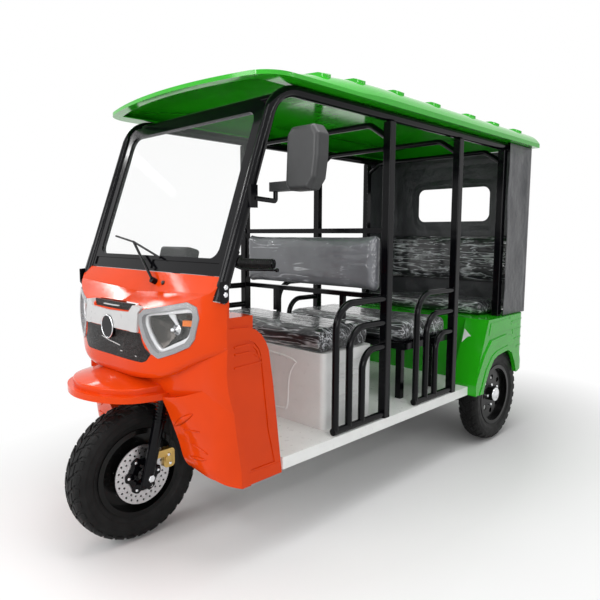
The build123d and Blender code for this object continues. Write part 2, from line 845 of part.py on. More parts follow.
for side, word in ((1, "left"), (-1, "right")):
    face = lengthwise(side * panel_outer)
    with BuildPart() as leg_shield:
        with BuildSketch(face):
            with BuildLine():
                Polyline(*panel_front, *panel_rear, close=True)
            make_face()
        extrude(amount=side * panel_thick)
        with BuildSketch(face):
            with BuildLine():
                Polyline(*ledge_front, *ledge_rear, close=True)
            make_face()
        extrude(amount=side * ledge_depth, mode=Mode.SUBTRACT)
        for line in rib_lines:
            with BuildSketch(face):
                with BuildLine():
                    Polyline(*line)
                    offset(amount=rib_width / 2, side=Side.BOTH)
                make_face()
            extrude(amount=side * (ledge_depth + 1))
        side_slab(side, (deck_front + 128, panel_outer - tray_reach, tray_low),
                  (nose_rear - touch_gap, panel_outer - panel_thick / 2, tray_top))
        side_slab(side, (deck_front + touch_gap, panel_outer - 1, foot_seam - 2),
                  (nose_rear - 70, panel_outer + 1, foot_seam), Mode.SUBTRACT)
    keep(leg_shield, f"leg_shield_{word}")

# The mudguard's rim in plan, ahead of the front axle
bill_rim = [(-60, 252), (0, 243), (50, 235), (101, 220), (147, 185), (184, 128), (206, 64),
            (bill_reach - wheelbase, 0)]
bill_fold = 20
dome_round = 6


def bill_plan(inset):
    """The mudguard's plan outline, each point drawn in square to the rim."""
    right = [(wheelbase + x, -y) for x, y in bill_rim]
    rim = right + [(x, -y) for x, y in reversed(right[:-1])]
    drawn = []
    for place, (x, y) in enumerate(rim):
        before = rim[max(place - 1, 0)]
        after = rim[min(place + 1, len(rim) - 1)]
        run = ((after[0] - before[0]) ** 2 + (after[1] - before[1]) ** 2) ** 0.5
        drawn.append((x - inset * (after[1] - before[1]) / run, y + inset * (after[0] - before[0]) / run))
    with BuildSketch(level(bill_low)) as plan:
        with BuildLine():
            Spline(*drawn)
            Line(drawn[-1], drawn[0])
        make_face()
    return plan.sketch


def bill_block(inset):
    """The bill-shaped mudguard as a block, drawn in by inset: a flat rim band under a crowned top."""
    with BuildPart() as crown:
        with BuildLine() as ridge:
            ThreePointArc(spot(wheelbase - 74, 0, 654 - inset), spot(wheelbase + 76, 0, 646 - inset),
                          spot(wheelbase + 236, 0, 610 - inset))
        with BuildSketch(Plane(origin=ridge.line @ 0, x_dir=(0, 1, 0), z_dir=ridge.line % 0)):
            with BuildLine():
                ThreePointArc((-280, -46), (0, 0), (280, -46))
                Polyline((280, -46), (280, -200), (-280, -200), (-280, -46))
            make_face()
        sweep(path=ridge.line)
    with BuildPart() as dome:
        add(bill_plan(bill_fold + inset))
        extrude(amount=120)
        add(crown.part, mode=Mode.INTERSECT)
        if inset == 0:
            rim = [edge for edge in dome.edges() if edge.length > 500 and edge.center().Z > bill_low + 5
                   and edge.center().X > axle_x + wheelbase]
            fillet(rim, dome_round)
    with BuildPart() as block:
        add(bill_plan(inset))
        extrude(amount=bill_band - inset)
        add(dome.part)
    return block


bill_outer = bill_block(0)
bill_inner = bill_block(bill_wall)
with BuildPart() as front_mudguard:
    add(bill_outer.part)
    with Locations((0, 0, -touch_gap)):
        add(bill_inner.part, mode=Mode.SUBTRACT)
    with Locations((touch_gap, 0, 0)):
        add(outer_front.part, mode=Mode.SUBTRACT)
keep(front_mudguard, "front_mudguard")


# Screen, pillars and roof frame ------------------------------------------------------------------

screen_angle = degrees(atan(screen_lean))
screen_half_width = side_y - tube_radius - touch_gap
rail_z = rail_top - tube_radius
screen_height = (rail_z - tube_radius - screen_head_gap - screen_foot_z) / cos(radians(screen_angle))
glass_height = screen_height - screen_border - screen_low_border
glass_middle = screen_low_border + glass_height / 2


def screen_plane(back):
    """The screen's own plane, back behind its front face: local x to the left, local y up it."""
    out = (cos(radians(screen_angle)), 0, sin(radians(screen_angle)))
    foot = (screen_foot_x - back * out[0], 0, screen_foot_z - back * out[2])
    return Plane(origin=spot(*foot), x_dir=(0, 1, 0), z_dir=out)


with BuildPart() as windscreen_frame:
    with BuildSketch(screen_plane(screen_thick)):
        with Locations((0, screen_height / 2)):
            RectangleRounded(2 * screen_half_width, screen_height, 50)
        with Locations((0, 30)):
            Rectangle(2 * screen_half_width, 60)
        with Locations((0, glass_middle)):
            RectangleRounded(2 * (screen_half_width - screen_border), glass_height, 40, mode=Mode.SUBTRACT)
    extrude(amount=screen_thick)
    with BuildSketch(screen_plane(0)):
        for side in (1, -1):
            with Locations((side * screen_half_width / 2, screen_low_border / 2 - 3)):
                Rectangle(screen_half_width - 40, screen_low_border - 24)
    extrude(amount=-5, mode=Mode.SUBTRACT)
keep(windscreen_frame, "windscreen_frame")

with BuildPart() as windscreen_glass:
    with BuildSketch(screen_plane(screen_thick / 2 + glass_thick / 2)):
        with Locations((0, glass_middle)):
            RectangleRounded(2 * (screen_half_width - screen_border - touch_gap),
                             glass_height - 2 * touch_gap, 40)
    extrude(amount=glass_thick)
keep(windscreen_glass, "windscreen_glass")


plate_points = [(10, 987), (35, 985), (35, 930), (28, 919), (6, 919), (-1, 930), (-1, 1000), (-46, 1077),
                (-26, 1086)]
plate_thick = 5
pillar_bend = 130
for side, word in ((1, "left"), (-1, "right")):
    path = [(pillar_x(pillar_foot_z), side * side_y, pillar_foot_z), (pillar_x(rail_z), side * side_y,
                                                                      rail_z),
            (-canvas_rear + 20, side * side_y, rail_z)]
    with BuildPart() as side_rail:
        add(tube(path, tube_radius, pillar_bend).part)
        with BuildSketch(lengthwise(side * (body_half_width + touch_gap))):
            with BuildLine():
                Polyline(*[(screen_foot_x + x, z) for x, z in plate_points], close=True)
            make_face()
        extrude(amount=-side * plate_thick)
    keep(side_rail, f"side_rail_{word}")

post_feet = {"b": deck_top + touch_gap, "c": deck_top + touch_gap, "d": tub_top + touch_gap}
for side, word in ((1, "left"), (-1, "right")):
    with BuildPart() as posts:
        for letter, x in post_xs.items():
            slab((x - post_size / 2, side * side_y - post_size / 2, post_feet[letter]),
                 (x + post_size / 2, side * side_y + post_size / 2, rail_z - tube_radius - touch_gap))
        fillet(posts.edges().filter_by(Axis.Z), 4)
    keep(posts, f"posts_{word}")

bow_drop = 20
bow_radius = 13
bow_hang = 60
header_radius = 16
bow_z = rail_z - bow_drop
bow_end_y = side_y - post_size / 2 - touch_gap
header_end_y = side_y - tube_radius - touch_gap
header_x = pillar_x(bow_z) - 46
header = tube([(header_x, -header_end_y, bow_z), (header_x, header_end_y, bow_z)], header_radius, 0)
bows = []
for x in post_xs.values():
    reach = bow_end_y + 8
    path = [(x, -reach, bow_z - bow_hang), (x, -reach + 90, bow_z), (x, reach - 90, bow_z),
            (x, reach, bow_z - bow_hang)]
    bows.append(tube(path, bow_radius, bow_hang))
with BuildPart() as roof_bows:
    for bow in bows:
        add(bow.part)
    slab((-tail_reach, -bow_end_y, 0), (header_x - 80, bow_end_y, roof_crown), Mode.INTERSECT)
    add(header.part)
keep(roof_bows, "roof_bows")

skin_crown = roof_crown - rib_height
flange_z = rail_top + touch_gap
lip_z = flange_z + roof_lip
side_low = 1500
eave_slope = 31
rib_xs = [-220, 60, 320, 650, 940, 1200, roof_front - 398]


def roof_block(inset):
    """Everything under the roof's outer skin, drawn in by inset: a crowned section swept along the top."""
    shoulder = (roof_shoulder_y, -roof_shoulder_drop - inset)
    edge = (roof_half_width - max(inset, 0), lip_z - skin_crown - inset)
    low = side_low - skin_crown
    with BuildPart() as block:
        with BuildLine() as ridge:
            Line(spot(-tail_reach, 0, skin_crown), spot(roof_bend_x, 0, skin_crown))
            TangentArc(spot(roof_bend_x, 0, skin_crown), spot(roof_front, 0, skin_crown - roof_front_drop),
                       tangent=(1, 0, 0))
        with BuildSketch(Plane(origin=ridge.line @ 0, x_dir=(0, 1, 0), z_dir=(1, 0, 0))):
            with BuildLine():
                ThreePointArc((-shoulder[0], shoulder[1]), (0, -inset), shoulder)
                ThreePointArc(shoulder, (edge[0] - eave_slope, (shoulder[1] + edge[1]) / 2 + 5), edge)
                Polyline(edge, (edge[0], low), (-edge[0], low), (-edge[0], edge[1]))
                ThreePointArc((-edge[0], edge[1]), (eave_slope - edge[0], (shoulder[1] + edge[1]) / 2 + 5),
                              (-shoulder[0], shoulder[1]))
            make_face()
        sweep(path=ridge.line)
    return block


def roof_plan(inset):
    """The roof's plan outline with its bowed front edge and round front corners, as a tall block."""
    half = roof_half_width - inset
    front = roof_front - inset
    corner = roof_corner_x - inset
    with BuildPart() as block:
        with BuildSketch(level(side_low)) as outline:
            with BuildLine():
                ThreePointArc((corner, -half), (front, 0), (corner, half))
                Polyline((corner, half), (inset - tail_reach, half), (inset - tail_reach, -half), (corner,
                                                                                                   -half))
            make_face()
            fillet(outline.vertices().sort_by(Axis.X)[-2:], roof_corner - inset)
        extrude(amount=500)
    return block


def roof_solid(inset):
    """The roof from its skin down, drawn in by inset: the crowned block, and a flat rim round its edge."""
    with BuildPart() as whole:
        add(roof_block(inset).part)
        slab((-tail_reach, -roof_half_width, side_low), (roof_front, roof_half_width,
                                                         flange_z + rim_height - inset))
        add(roof_plan(inset).part, mode=Mode.INTERSECT)
    return whole


rim_height = 14
flange_width = 34
with BuildPart() as ribs:
    with BuildSketch(level(side_low)):
        for x in rib_xs:
            with Locations((x, 0)):
                RectangleRounded(2 * rib_half_width, 2 * rib_half_length, rib_half_width - 1)
    extrude(amount=500)
    add(roof_block(-rib_height).part, mode=Mode.INTERSECT)

with BuildPart() as roof_opening:
    add(roof_plan(flange_width).part)
    slab((-tail_reach, -roof_flange_y, side_low), (roof_front, roof_flange_y, flange_z + sheet),
         Mode.INTERSECT)

with BuildPart() as roof_hollow:
    add(roof_solid(sheet).part)
    slab((-tail_reach, -roof_half_width, side_low), (roof_front, roof_half_width, flange_z + sheet),
         Mode.SUBTRACT)

with BuildPart() as roof_panel:
    add(roof_solid(0).part)
    add(ribs.part)
    slab((-tail_reach, -roof_half_width, side_low - 1), (roof_front, roof_half_width, flange_z),
         Mode.SUBTRACT)
    add(roof_hollow.part, mode=Mode.SUBTRACT)
    add(roof_opening.part, mode=Mode.SUBTRACT)
keep(roof_panel, "roof_panel")


# Guard rails -------------------------------------------------------------------------------------

def guard(x, side):
    """A guard beside a doorway: an outer hoop from a post, with two hoops nested in it."""
    y = side * side_y
    back = x + post_size / 2 + guard_radius + touch_gap
    front = x + guard_reach - guard_radius
    foot = deck_top + guard_radius + touch_gap
    hoops = []
    for step in range(3):
        top = guard_top - guard_radius - guard_step_down * step
        reach = front - guard_step_back * step
        hoops.append(tube([(back - guard_radius, y, top), (reach, y, top), (reach, y, foot)], guard_radius,
                          100 - 10 * step))
    hoops.append(tube([(back - guard_radius, y, foot), (front + guard_radius, y, foot)], guard_radius, 0))
    return joined(*hoops)


for letter in ("b", "c"):
    for side, word in ((1, "left"), (-1, "right")):
        keep(guard(post_xs[letter], side), f"guard_{letter}_{word}")


# Seats -------------------------------------------------------------------------------------------

with BuildPart() as seat_box:
    slab((seat_box_rear, -seat_box_half_width, deck_top + touch_gap),
         (seat_box_front, seat_box_half_width, seat_box_top))
    fillet(seat_box.edges().filter_by(Axis.Z), seat_box_corner)
    offset(amount=-seat_box_wall, openings=seat_box.faces().sort_by(Axis.Z)[0])
    for side in (1, -1):
        side_slab(side, (seat_box_rear + 50, seat_box_half_width - 1.5, deck_top + 60),
                  (seat_box_front - 50, seat_box_half_width + 1, seat_box_top - 60), Mode.SUBTRACT)
keep(seat_box, "seat_box")


def cushion(rear, front, half_width, low, thick, round_over=22):
    with BuildPart() as pad:
        slab((rear, -half_width, low), (front, half_width, low + thick))
        fillet(pad.edges(), round_over)
    return pad


keep(cushion(seat_box_rear, seat_box_front + 20, cushion_half_width, seat_box_top + touch_gap,
             cushion_thick),
     "driver_cushion")

back_x = post_xs["b"]
brace_y = 220
with BuildPart() as backrest_frame:
    for z in (back_low - touch_gap - back_bar / 2, back_high + touch_gap + back_bar / 2):
        slab((back_x - back_bar / 2, -side_y + post_size / 2 + touch_gap, z - back_bar / 2),
             (back_x + back_bar / 2, side_y - post_size / 2 - touch_gap, z + back_bar / 2))
    for y in (-brace_y, brace_y):
        slab((back_x - back_bar / 2, y - back_bar / 2, seat_box_top + cushion_thick + 2 * touch_gap),
             (back_x + back_bar / 2, y + back_bar / 2, back_low - touch_gap))
keep(backrest_frame, "backrest_frame")
keep(cushion(back_x - 30, back_x + 30, 435, back_low, back_high - back_low, 16), "driver_backrest")

bench_bar = 30
with BuildPart() as bench_frame:
    slab((bench_rear, -cushion_half_width, bench_low - bench_bar), (bench_front, cushion_half_width,
                                                                    bench_low))
    for x in (bench_rear + 40, bench_front - 70):
        for side in (1, -1):
            slab((x, side * 340 - bench_bar / 2, deck_top + touch_gap),
                 (x + bench_bar, side * 340 + bench_bar / 2, bench_low - bench_bar))
keep(bench_frame, "bench_frame")
keep(cushion(bench_rear, bench_front, cushion_half_width, bench_low + touch_gap, cushion_thick),
     "bench_cushion")

keep(cushion(-300, 40, 420, tub_top + touch_gap, 70), "rear_cushion")
keep(cushion(-canvas_rear, -canvas_rear + 60, 448, 840, 310, 18), "rear_backrest")


# Rear tub and canvas -----------------------------------------------------------------------------

with BuildPart() as rear_tub:
    slab((-tub_rear, -well_inner_y, deck_top + touch_gap), (riser_x, well_inner_y, tub_top))
    slab((-tub_rear + sheet, -well_inner_y + sheet, 0), (riser_x - sheet, well_inner_y - sheet,
                                                         tub_top - sheet),
         Mode.SUBTRACT)
keep(rear_tub, "rear_tub")

# The rear wings: an opening, a lip round it, a band round the lip, and the panel above, each set back
arch_points = [(230, 240), (193, 340), (151, 413), (98, 470), (51, 488), (-72, 502), (-126, 478), (-166,
                                                                                                   417),
               (-193, 354), (-235, 240)]
lip_points = [(deck_rear, 240), (221, 340), (180, 425), (118, 492), (58, 514), (-78, 528), (-146, 501),
              (-190, 430), (-222, 350), (-262, 240)]
band_points = [(deck_rear, 240), (deck_rear, 372), (196, 506), (120, 577), (-62, 592), (-141, 566), (-219,
                                                                                                     480),
               (-268, 400), (-290, 300), (-290, 240)]
band_back = 4
panel_back = 12
patch_points = [(128, 669), (-91, 679), (-133, 617), (146, 607)]
slot_places = [(-104, 678), (-126, 636), (-148, 590), (-168, 547), (-186, 508)]
louvre_lines = [((-133, 655), (-330, 661)), ((-140, 604), (-330, 610)), ((-165, 552), (-330, 556)),
                ((-186, 504), (-330, 507))]
fender_points = [(-tub_rear, tub_low), (-tub_rear, tub_top), (riser_x, tub_top), (deck_rear - touch_gap,
                                                                                  360),
                 (deck_rear - touch_gap, deck_low), (200, deck_low), (-280, tub_low)]
fender_inner = well_inner_y + touch_gap


def fender_block(side, back):
    """A rear wing's block out to back inside its widest face, with its rear corner rounded."""
    outer = tub_half_width - back
    with BuildPart() as block:
        with BuildSketch(lengthwise(side * outer)):
            with BuildLine():
                Polyline(*fender_points, close=True)
            make_face()
        extrude(amount=side * (outer - fender_inner))
        corners = block.edges().filter_by(Axis.Z).sort_by(Axis.X)[0:2].sort_by(Axis.Y)
        fillet(corners[-1 if side > 0 else 0], tub_corner - back)
    return block


def side_prism(side, points, low, high):
    """A side-view outline as a block between two distances from the middle plane."""
    with BuildPart() as block:
        with BuildSketch(lengthwise(side * high)):
            with BuildLine():
                Polyline(*points, close=True)
            make_face()
        extrude(amount=side * (high - low))
    return block


def louvre(side, start, end):
    """One raised line round a rear wing's corner."""
    strip = [(start[0], start[1] - 3), (start[0], start[1] + 3), (end[0], end[1] + 3), (end[0], end[1] - 3)]
    with BuildPart() as line:
        add(fender_block(side, panel_back - 3).part)
        add(side_prism(side, strip, 0, tub_half_width + 1).part, mode=Mode.INTERSECT)
    return line


for side, word in ((1, "left"), (-1, "right")):
    with BuildPart() as fender:
        add(fender_block(side, 0).part)
        add(side_prism(side, band_points, 0, tub_half_width + 1).part, mode=Mode.INTERSECT)
    with BuildPart() as lip:
        add(fender.part)
        add(side_prism(side, lip_points, 0, tub_half_width + 1).part, mode=Mode.INTERSECT)
    with BuildPart() as band:
        add(fender_block(side, band_back).part)
        add(side_prism(side, band_points, 0, tub_half_width + 1).part, mode=Mode.INTERSECT)
    with BuildPart() as wing:
        add(fender_block(side, panel_back).part)
        add(side_prism(side, patch_points, tub_half_width - panel_back - 6,
                       tub_half_width - panel_back + 3).part)
        for start, end in louvre_lines:
            add(louvre(side, start, end).part)
        add(band.part)
        add(lip.part)
        with Locations(Location(spot(0,
                                     side * (fender_inner + (tub_half_width - fender_inner) / 2 - panel_back
                                                - fender_skin / 2), tyre_radius), (90, 0, 0))):
            Cylinder(well_radius, tub_half_width - fender_inner - panel_back + fender_skin / 2,
                     mode=Mode.SUBTRACT)
        add(side_prism(side, arch_points, tub_half_width - 3 * fender_skin, tub_half_width + 1).part,
            mode=Mode.SUBTRACT)
        for x, z in slot_places:
            side_slab(side, (x - 3, tub_half_width - panel_back - 4, z - 9),
                      (x + 3, tub_half_width + 1, z + 9), Mode.SUBTRACT)
    keep(wing, f"rear_fender_{word}")

for side, word in ((1, "left"), (-1, "right")):
    with BuildPart() as canvas:
        side_slab(side, (-canvas_rear, canvas_y - canvas_thick / 2, tub_top + touch_gap),
                  (canvas_front, canvas_y + canvas_thick / 2, rail_top))
    keep(canvas, f"canvas_{word}")
with BuildPart() as canvas_rear_panel:
    slab((-canvas_rear - canvas_thick, -canvas_y, tub_top + touch_gap), (-canvas_rear - touch_gap,
                                                                         canvas_y, rail_top))
    slab((-canvas_rear - 50, -window_half_width, window_low), (-canvas_rear + 50, window_half_width,
                                                               window_high),
         Mode.SUBTRACT)
keep(canvas_rear_panel, "canvas_rear")


# Mirror and wiper --------------------------------------------------------------------------------

mirror_low = arm_z + 17
mirror_lug = 95
lug_height = 30
with BuildPart() as mirror_housing:
    with BuildSketch(across(mirror_x - mirror_depth / 2)):
        with BuildLine():
            Polyline((mirror_inner - 8, mirror_low + 20), (mirror_inner, mirror_low + mirror_height - 22),
                     (mirror_inner + 20, mirror_low + mirror_height), (mirror_reach - 24,
                                                                       mirror_low + mirror_height),
                     (mirror_reach, mirror_low + mirror_height - 30), (mirror_reach - 2, mirror_low + 100),
                     (mirror_reach - 12, mirror_low + 34), (mirror_reach - 40, mirror_low),
                     (mirror_inner + 10, mirror_low), close=True)
        make_face()
    extrude(amount=mirror_depth)
    fillet(mirror_housing.edges().filter_by(Axis.X), 11)
    fillet(mirror_housing.faces().sort_by(Axis.X)[-1].edges(), 16)
    slab((mirror_x - 24, mirror_inner - mirror_lug, mirror_low + 4),
         (mirror_x + 10, mirror_inner + 20, mirror_low + 4 + lug_height))
keep(mirror_housing, "mirror_housing")

arm_radius = 8
arm_foot_x = pillar_x(arm_z)
arm_y = mirror_inner - mirror_lug + 14
arm_stem = tube([(arm_foot_x - 4, side_y + tube_radius + 10, arm_z - 6), (mirror_x - 6, arm_y, arm_z - 10),
                 (mirror_x - 6, arm_y, mirror_low + 4 - touch_gap)], arm_radius, 8)
with BuildPart() as arm_clamp:
    slab((arm_foot_x - 16, side_y + tube_radius + touch_gap, arm_z - 36),
         (arm_foot_x + 12, side_y + tube_radius + 14, arm_z + 36))
mirror_arm = joined(arm_stem, arm_clamp)
keep(mirror_arm, "mirror_arm")

# The wiper: a boot on the bonnet, an arm up to the screen, and the blade it carries
def off_screen(y, z):
    """A point just ahead of the screen's face."""
    return (screen_foot_x - screen_lean * (z - screen_foot_z) + 2.4 * wiper_radius, y, z)


wiper_foot = (screen_foot_x + wiper_ahead, wiper_y, on_hood(wiper_ahead, wiper_y))
wiper_joint = off_screen(-130, 1102)
wiper_knee = (wiper_foot[0] + 16, wiper_y, wiper_foot[2] + 12)
wiper_arm = joined(tube([wiper_knee, wiper_joint], wiper_radius, 0),
                   tube([off_screen(-282, 1124), wiper_joint, off_screen(85, 1048)], wiper_radius - 1, 40))
with BuildPart() as wiper:
    with BuildSketch(Plane(origin=spot(*wiper_foot), z_dir=(2, 0, 1))):
        Circle(11)
    extrude(amount=20, both=True)
    add(wiper_arm.part)
    with Locations((0, 0, 0.7)):
        add(outer_front.part, mode=Mode.SUBTRACT)
keep(wiper, "wiper")
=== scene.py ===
"""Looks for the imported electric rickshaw: finishes for every solid, and the made-up pieces on them.

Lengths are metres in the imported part's own frame: +X forward, +Y to the vehicle's left, +Z up.
"""
import json
from math import cos, pi, radians, sin

import bmesh
import bpy
import numpy as np
from mathutils import Matrix, Vector
from mathutils.bvhtree import BVHTree


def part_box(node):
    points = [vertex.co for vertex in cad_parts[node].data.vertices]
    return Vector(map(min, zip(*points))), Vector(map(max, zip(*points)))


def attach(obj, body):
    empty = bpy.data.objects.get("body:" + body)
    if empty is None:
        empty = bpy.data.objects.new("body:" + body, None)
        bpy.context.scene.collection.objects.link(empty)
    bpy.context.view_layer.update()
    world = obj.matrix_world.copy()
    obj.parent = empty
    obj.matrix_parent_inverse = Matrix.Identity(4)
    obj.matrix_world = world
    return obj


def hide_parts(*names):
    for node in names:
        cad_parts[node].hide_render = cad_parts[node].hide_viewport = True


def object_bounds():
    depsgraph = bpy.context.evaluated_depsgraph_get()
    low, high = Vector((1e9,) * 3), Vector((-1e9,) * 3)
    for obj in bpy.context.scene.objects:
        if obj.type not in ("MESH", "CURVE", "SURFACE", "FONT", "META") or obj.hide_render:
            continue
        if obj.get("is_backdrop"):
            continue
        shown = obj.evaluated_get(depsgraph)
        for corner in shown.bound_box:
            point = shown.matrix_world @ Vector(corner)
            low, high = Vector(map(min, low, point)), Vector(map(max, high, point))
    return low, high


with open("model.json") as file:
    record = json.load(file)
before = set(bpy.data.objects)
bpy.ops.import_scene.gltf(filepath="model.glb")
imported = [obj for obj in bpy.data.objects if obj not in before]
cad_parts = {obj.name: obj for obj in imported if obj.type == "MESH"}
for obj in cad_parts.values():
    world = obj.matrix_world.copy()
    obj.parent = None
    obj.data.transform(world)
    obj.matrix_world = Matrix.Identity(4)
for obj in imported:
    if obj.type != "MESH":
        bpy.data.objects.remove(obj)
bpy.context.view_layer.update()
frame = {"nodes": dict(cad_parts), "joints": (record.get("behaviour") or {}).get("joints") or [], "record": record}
solids = frame["nodes"]


# ---------------------------------------------------------------- finishes

class Finish:
    """A material with a Principled shader, and short words for adding nodes to it."""

    def __init__(self, name, colour, rough, metal=0.0, coat=0.0, coat_rough=0.05, alpha=1.0):
        self.material = bpy.data.materials.new(name)
        self.material.use_nodes = True
        self.tree = self.material.node_tree
        self.shader = next(n for n in self.tree.nodes if n.type == "BSDF_PRINCIPLED")
        self.set(**{"Base Color": (*colour, 1), "Roughness": rough, "Metallic": metal, "IOR": 1.5,
                    "Coat Weight": coat, "Coat Roughness": coat_rough, "Alpha": alpha})
        self.place = self.add("ShaderNodeTexCoord").outputs["Object"]

    def set(self, **values):
        for key, value in values.items():
            self.shader.inputs[key].default_value = value

    def add(self, kind, inputs=None, **settings):
        node = self.tree.nodes.new(kind)
        for key, value in settings.items():
            setattr(node, key, value)
        for key, value in (inputs or {}).items():
            if isinstance(value, bpy.types.NodeSocket):
                self.tree.links.new(value, node.inputs[key])
            else:
                node.inputs[key].default_value = value
        return node

    def feed(self, key, socket):
        self.tree.links.new(socket, self.shader.inputs[key])

    def noise(self, scale, detail=4.0, rough=0.5, vector=None, twist=0.0):
        return self.add("ShaderNodeTexNoise", {"Vector": vector or self.place, "Scale": scale, "Detail": detail,
                                               "Roughness": rough, "Distortion": twist}).outputs["Fac"]

    def cells(self, scale, feature="F1"):
        node = self.add("ShaderNodeTexVoronoi", {"Vector": self.place, "Scale": scale}, feature=feature)
        return node.outputs["Distance"]

    def between(self, value, low, high, to_low=0.0, to_high=1.0):
        return self.add("ShaderNodeMapRange", {"Value": value, "From Min": low, "From Max": high,
                                               "To Min": to_low, "To Max": to_high}).outputs["Result"]

    def sums(self, operation, a, b):
        return self.add("ShaderNodeMath", {0: a, 1: b}, operation=operation).outputs["Value"]

    def tint(self, amount, dark, light):
        """Base colour that runs from dark to light with amount."""
        ramp = self.add("ShaderNodeMix", {0: amount, 6: (*dark, 1), 7: (*light, 1)}, data_type="RGBA")
        self.feed("Base Color", ramp.outputs[2])
        return ramp.outputs[2]

    def bump(self, height, distance, strength=1.0, key="Normal", under=None):
        inputs = {"Height": height, "Distance": distance, "Strength": strength}
        if under is not None:
            inputs["Normal"] = under
        out = self.add("ShaderNodeBump", inputs).outputs["Normal"]
        if key:
            self.feed(key, out)
        return out


def shade(colour, factor):
    """A colour made darker or lighter by a factor, and never past one."""
    return tuple(min(1.0, c * factor) for c in colour)


def moulded_gloss(name, colour, gloss=0.25):
    """Gelcoat on a moulded panel: a little uneven in colour, wavy in the gloss."""
    f = Finish(name, colour, 0.2)
    f.set(**{"Specular IOR Level": gloss})
    f.tint(f.between(f.noise(3.5, 3), 0.35, 0.65), shade(colour, 0.94), shade(colour, 1.04))
    f.feed("Roughness", f.between(f.noise(26, 5), 0.3, 0.7, 0.08, 0.14))
    f.bump(f.noise(7, 2), 0.0012, 0.3)
    return f.material


def enamel(name, colour, rough=0.22, gloss=0.3):
    """Sprayed enamel on steel: orange peel in the gloss and a few duller patches."""
    f = Finish(name, colour, rough)
    f.set(**{"Specular IOR Level": gloss})
    f.tint(f.between(f.noise(14, 4), 0.3, 0.7), shade(colour, 0.97), shade(colour, 1.03))
    f.feed("Roughness", f.between(f.noise(40, 5), 0.3, 0.7, rough * 0.85, rough * 1.3))
    f.bump(f.noise(180, 2), 0.0001, 0.25)
    return f.material


def grained_plastic(name, colour, rough=0.5, grain=900):
    """Moulded plastic: faint patches of shade over a fine pebbled grain."""
    f = Finish(name, colour, rough)
    f.tint(f.between(f.noise(20, 4), 0.3, 0.7), shade(colour, 0.85), shade(colour, 1.15))
    f.bump(f.cells(grain), 0.0003, 0.6)
    return f.material


def wrapped_leatherette(name, colour, film, drawn):
    """Leatherette in clear wrapping: grain under a film whose creases are painted pale in the base colour as
    painted highlights, standing for the light they catch; film is that painted highlight colour. The creases are
    where a long-drawn noise crosses its middle; drawn is how much of the film is creased."""
    f = Finish(name, colour, 0.4, coat=0.9, coat_rough=0.04)
    f.set(**{"Specular IOR Level": 0.25})
    slanted = f.add("ShaderNodeMapping", {"Vector": f.place, "Scale": (1.0, 0.09, 0.7),
                                          "Rotation": (radians(38), 0, radians(28))}).outputs["Vector"]
    long_run = f.sums("ABSOLUTE", f.sums("SUBTRACT", f.noise(34, 1.5, 0.4, slanted, 0.0), 0.5), 0.0)
    fine_run = f.sums("ABSOLUTE", f.sums("SUBTRACT", f.noise(80, 2, 0.5, slanted, 0.2), 0.5), 0.0)
    long_lines = f.sums("MULTIPLY", f.between(long_run, 0.0, 0.028, 1.0, 0.0),
                        f.between(f.noise(6, 3), 0.60 - drawn, 0.74 - drawn))
    fine_lines = f.sums("MULTIPLY", f.between(fine_run, 0.0, 0.04, 0.8, 0.0),
                        f.between(f.noise(8, 3), 0.64 - drawn, 0.78 - drawn))
    # painted highlights: the crease lines are mixed toward the film colour, standing for light caught by the
    # creases
    painted_crease_highlight = f.sums("MAXIMUM", long_lines, fine_lines)
    base = f.tint(f.between(f.noise(4, 3), 0.3, 0.7), shade(colour, 0.75), shade(colour, 1.35))
    creased = f.add("ShaderNodeMix", {0: painted_crease_highlight, 6: base, 7: (*film, 1)}, data_type="RGBA").outputs[2]
    f.feed("Base Color", creased)
    f.bump(f.cells(700), 0.0003, 0.5)
    under = f.bump(long_run, 0.012, 0.9, key=None)
    f.bump(fine_run, 0.004, 0.7, key="Coat Normal", under=under)
    return f.material


def woven(name, colour):
    """Coated cloth: crossed threads over slow dents, a little uneven in shade."""
    f = Finish(name, colour, 0.36)
    f.set(**{"Specular IOR Level": 0.5})
    f.tint(f.between(f.noise(7, 5), 0.3, 0.7), shade(colour, 0.75), shade(colour, 1.25))
    waves = [f.add("ShaderNodeTexWave", {"Vector": f.place, "Scale": 260.0}, bands_direction=axis).outputs["Fac"]
             for axis in ("X", "Z", "Y")]
    cloth = f.sums("ADD", f.sums("MULTIPLY", waves[0], waves[1]), f.sums("MULTIPLY", waves[2], waves[1]))
    f.bump(cloth, 0.0003, 0.35, under=f.bump(f.noise(9, 4), 0.014, 0.9, key=None))
    return f.material


def rubber(name, colour=(0.007, 0.007, 0.007), rough=0.5):
    """Black rubber: dusty patches of shade, uneven dullness and a fine roughness."""
    f = Finish(name, colour, rough)
    f.set(**{"Specular IOR Level": 0.16})
    f.tint(f.between(f.noise(24, 5), 0.35, 0.7), shade(colour, 0.7), shade(colour, 1.5))
    f.feed("Roughness", f.between(f.noise(60, 4), 0.3, 0.7, rough * 0.85, min(1, rough * 1.2)))
    f.bump(f.noise(400, 3), 0.0003, 0.4)
    return f.material


def bare_metal(name, colour, rough):
    """Uncoated metal: uneven polish and fine scratches as a shallow bump."""
    f = Finish(name, colour, rough, metal=1.0)
    f.feed("Roughness", f.between(f.noise(90, 5), 0.3, 0.7, rough * 0.7, rough * 1.4))
    f.bump(f.noise(600, 2), 0.0001, 0.3)
    return f.material


def clear_sheet(name, colour, alpha):
    """A clear sheet: mostly see-through, with a slow ripple in what it reflects."""
    f = Finish(name, colour, 0.03, alpha=alpha)
    f.set(**{"Specular IOR Level": 0.25})
    f.tint(f.between(f.noise(9, 3), 0.3, 0.7), shade(colour, 0.96), colour)
    f.bump(f.noise(6, 2), 0.0006, 0.2)
    f.material.surface_render_method = "BLENDED"
    return f.material


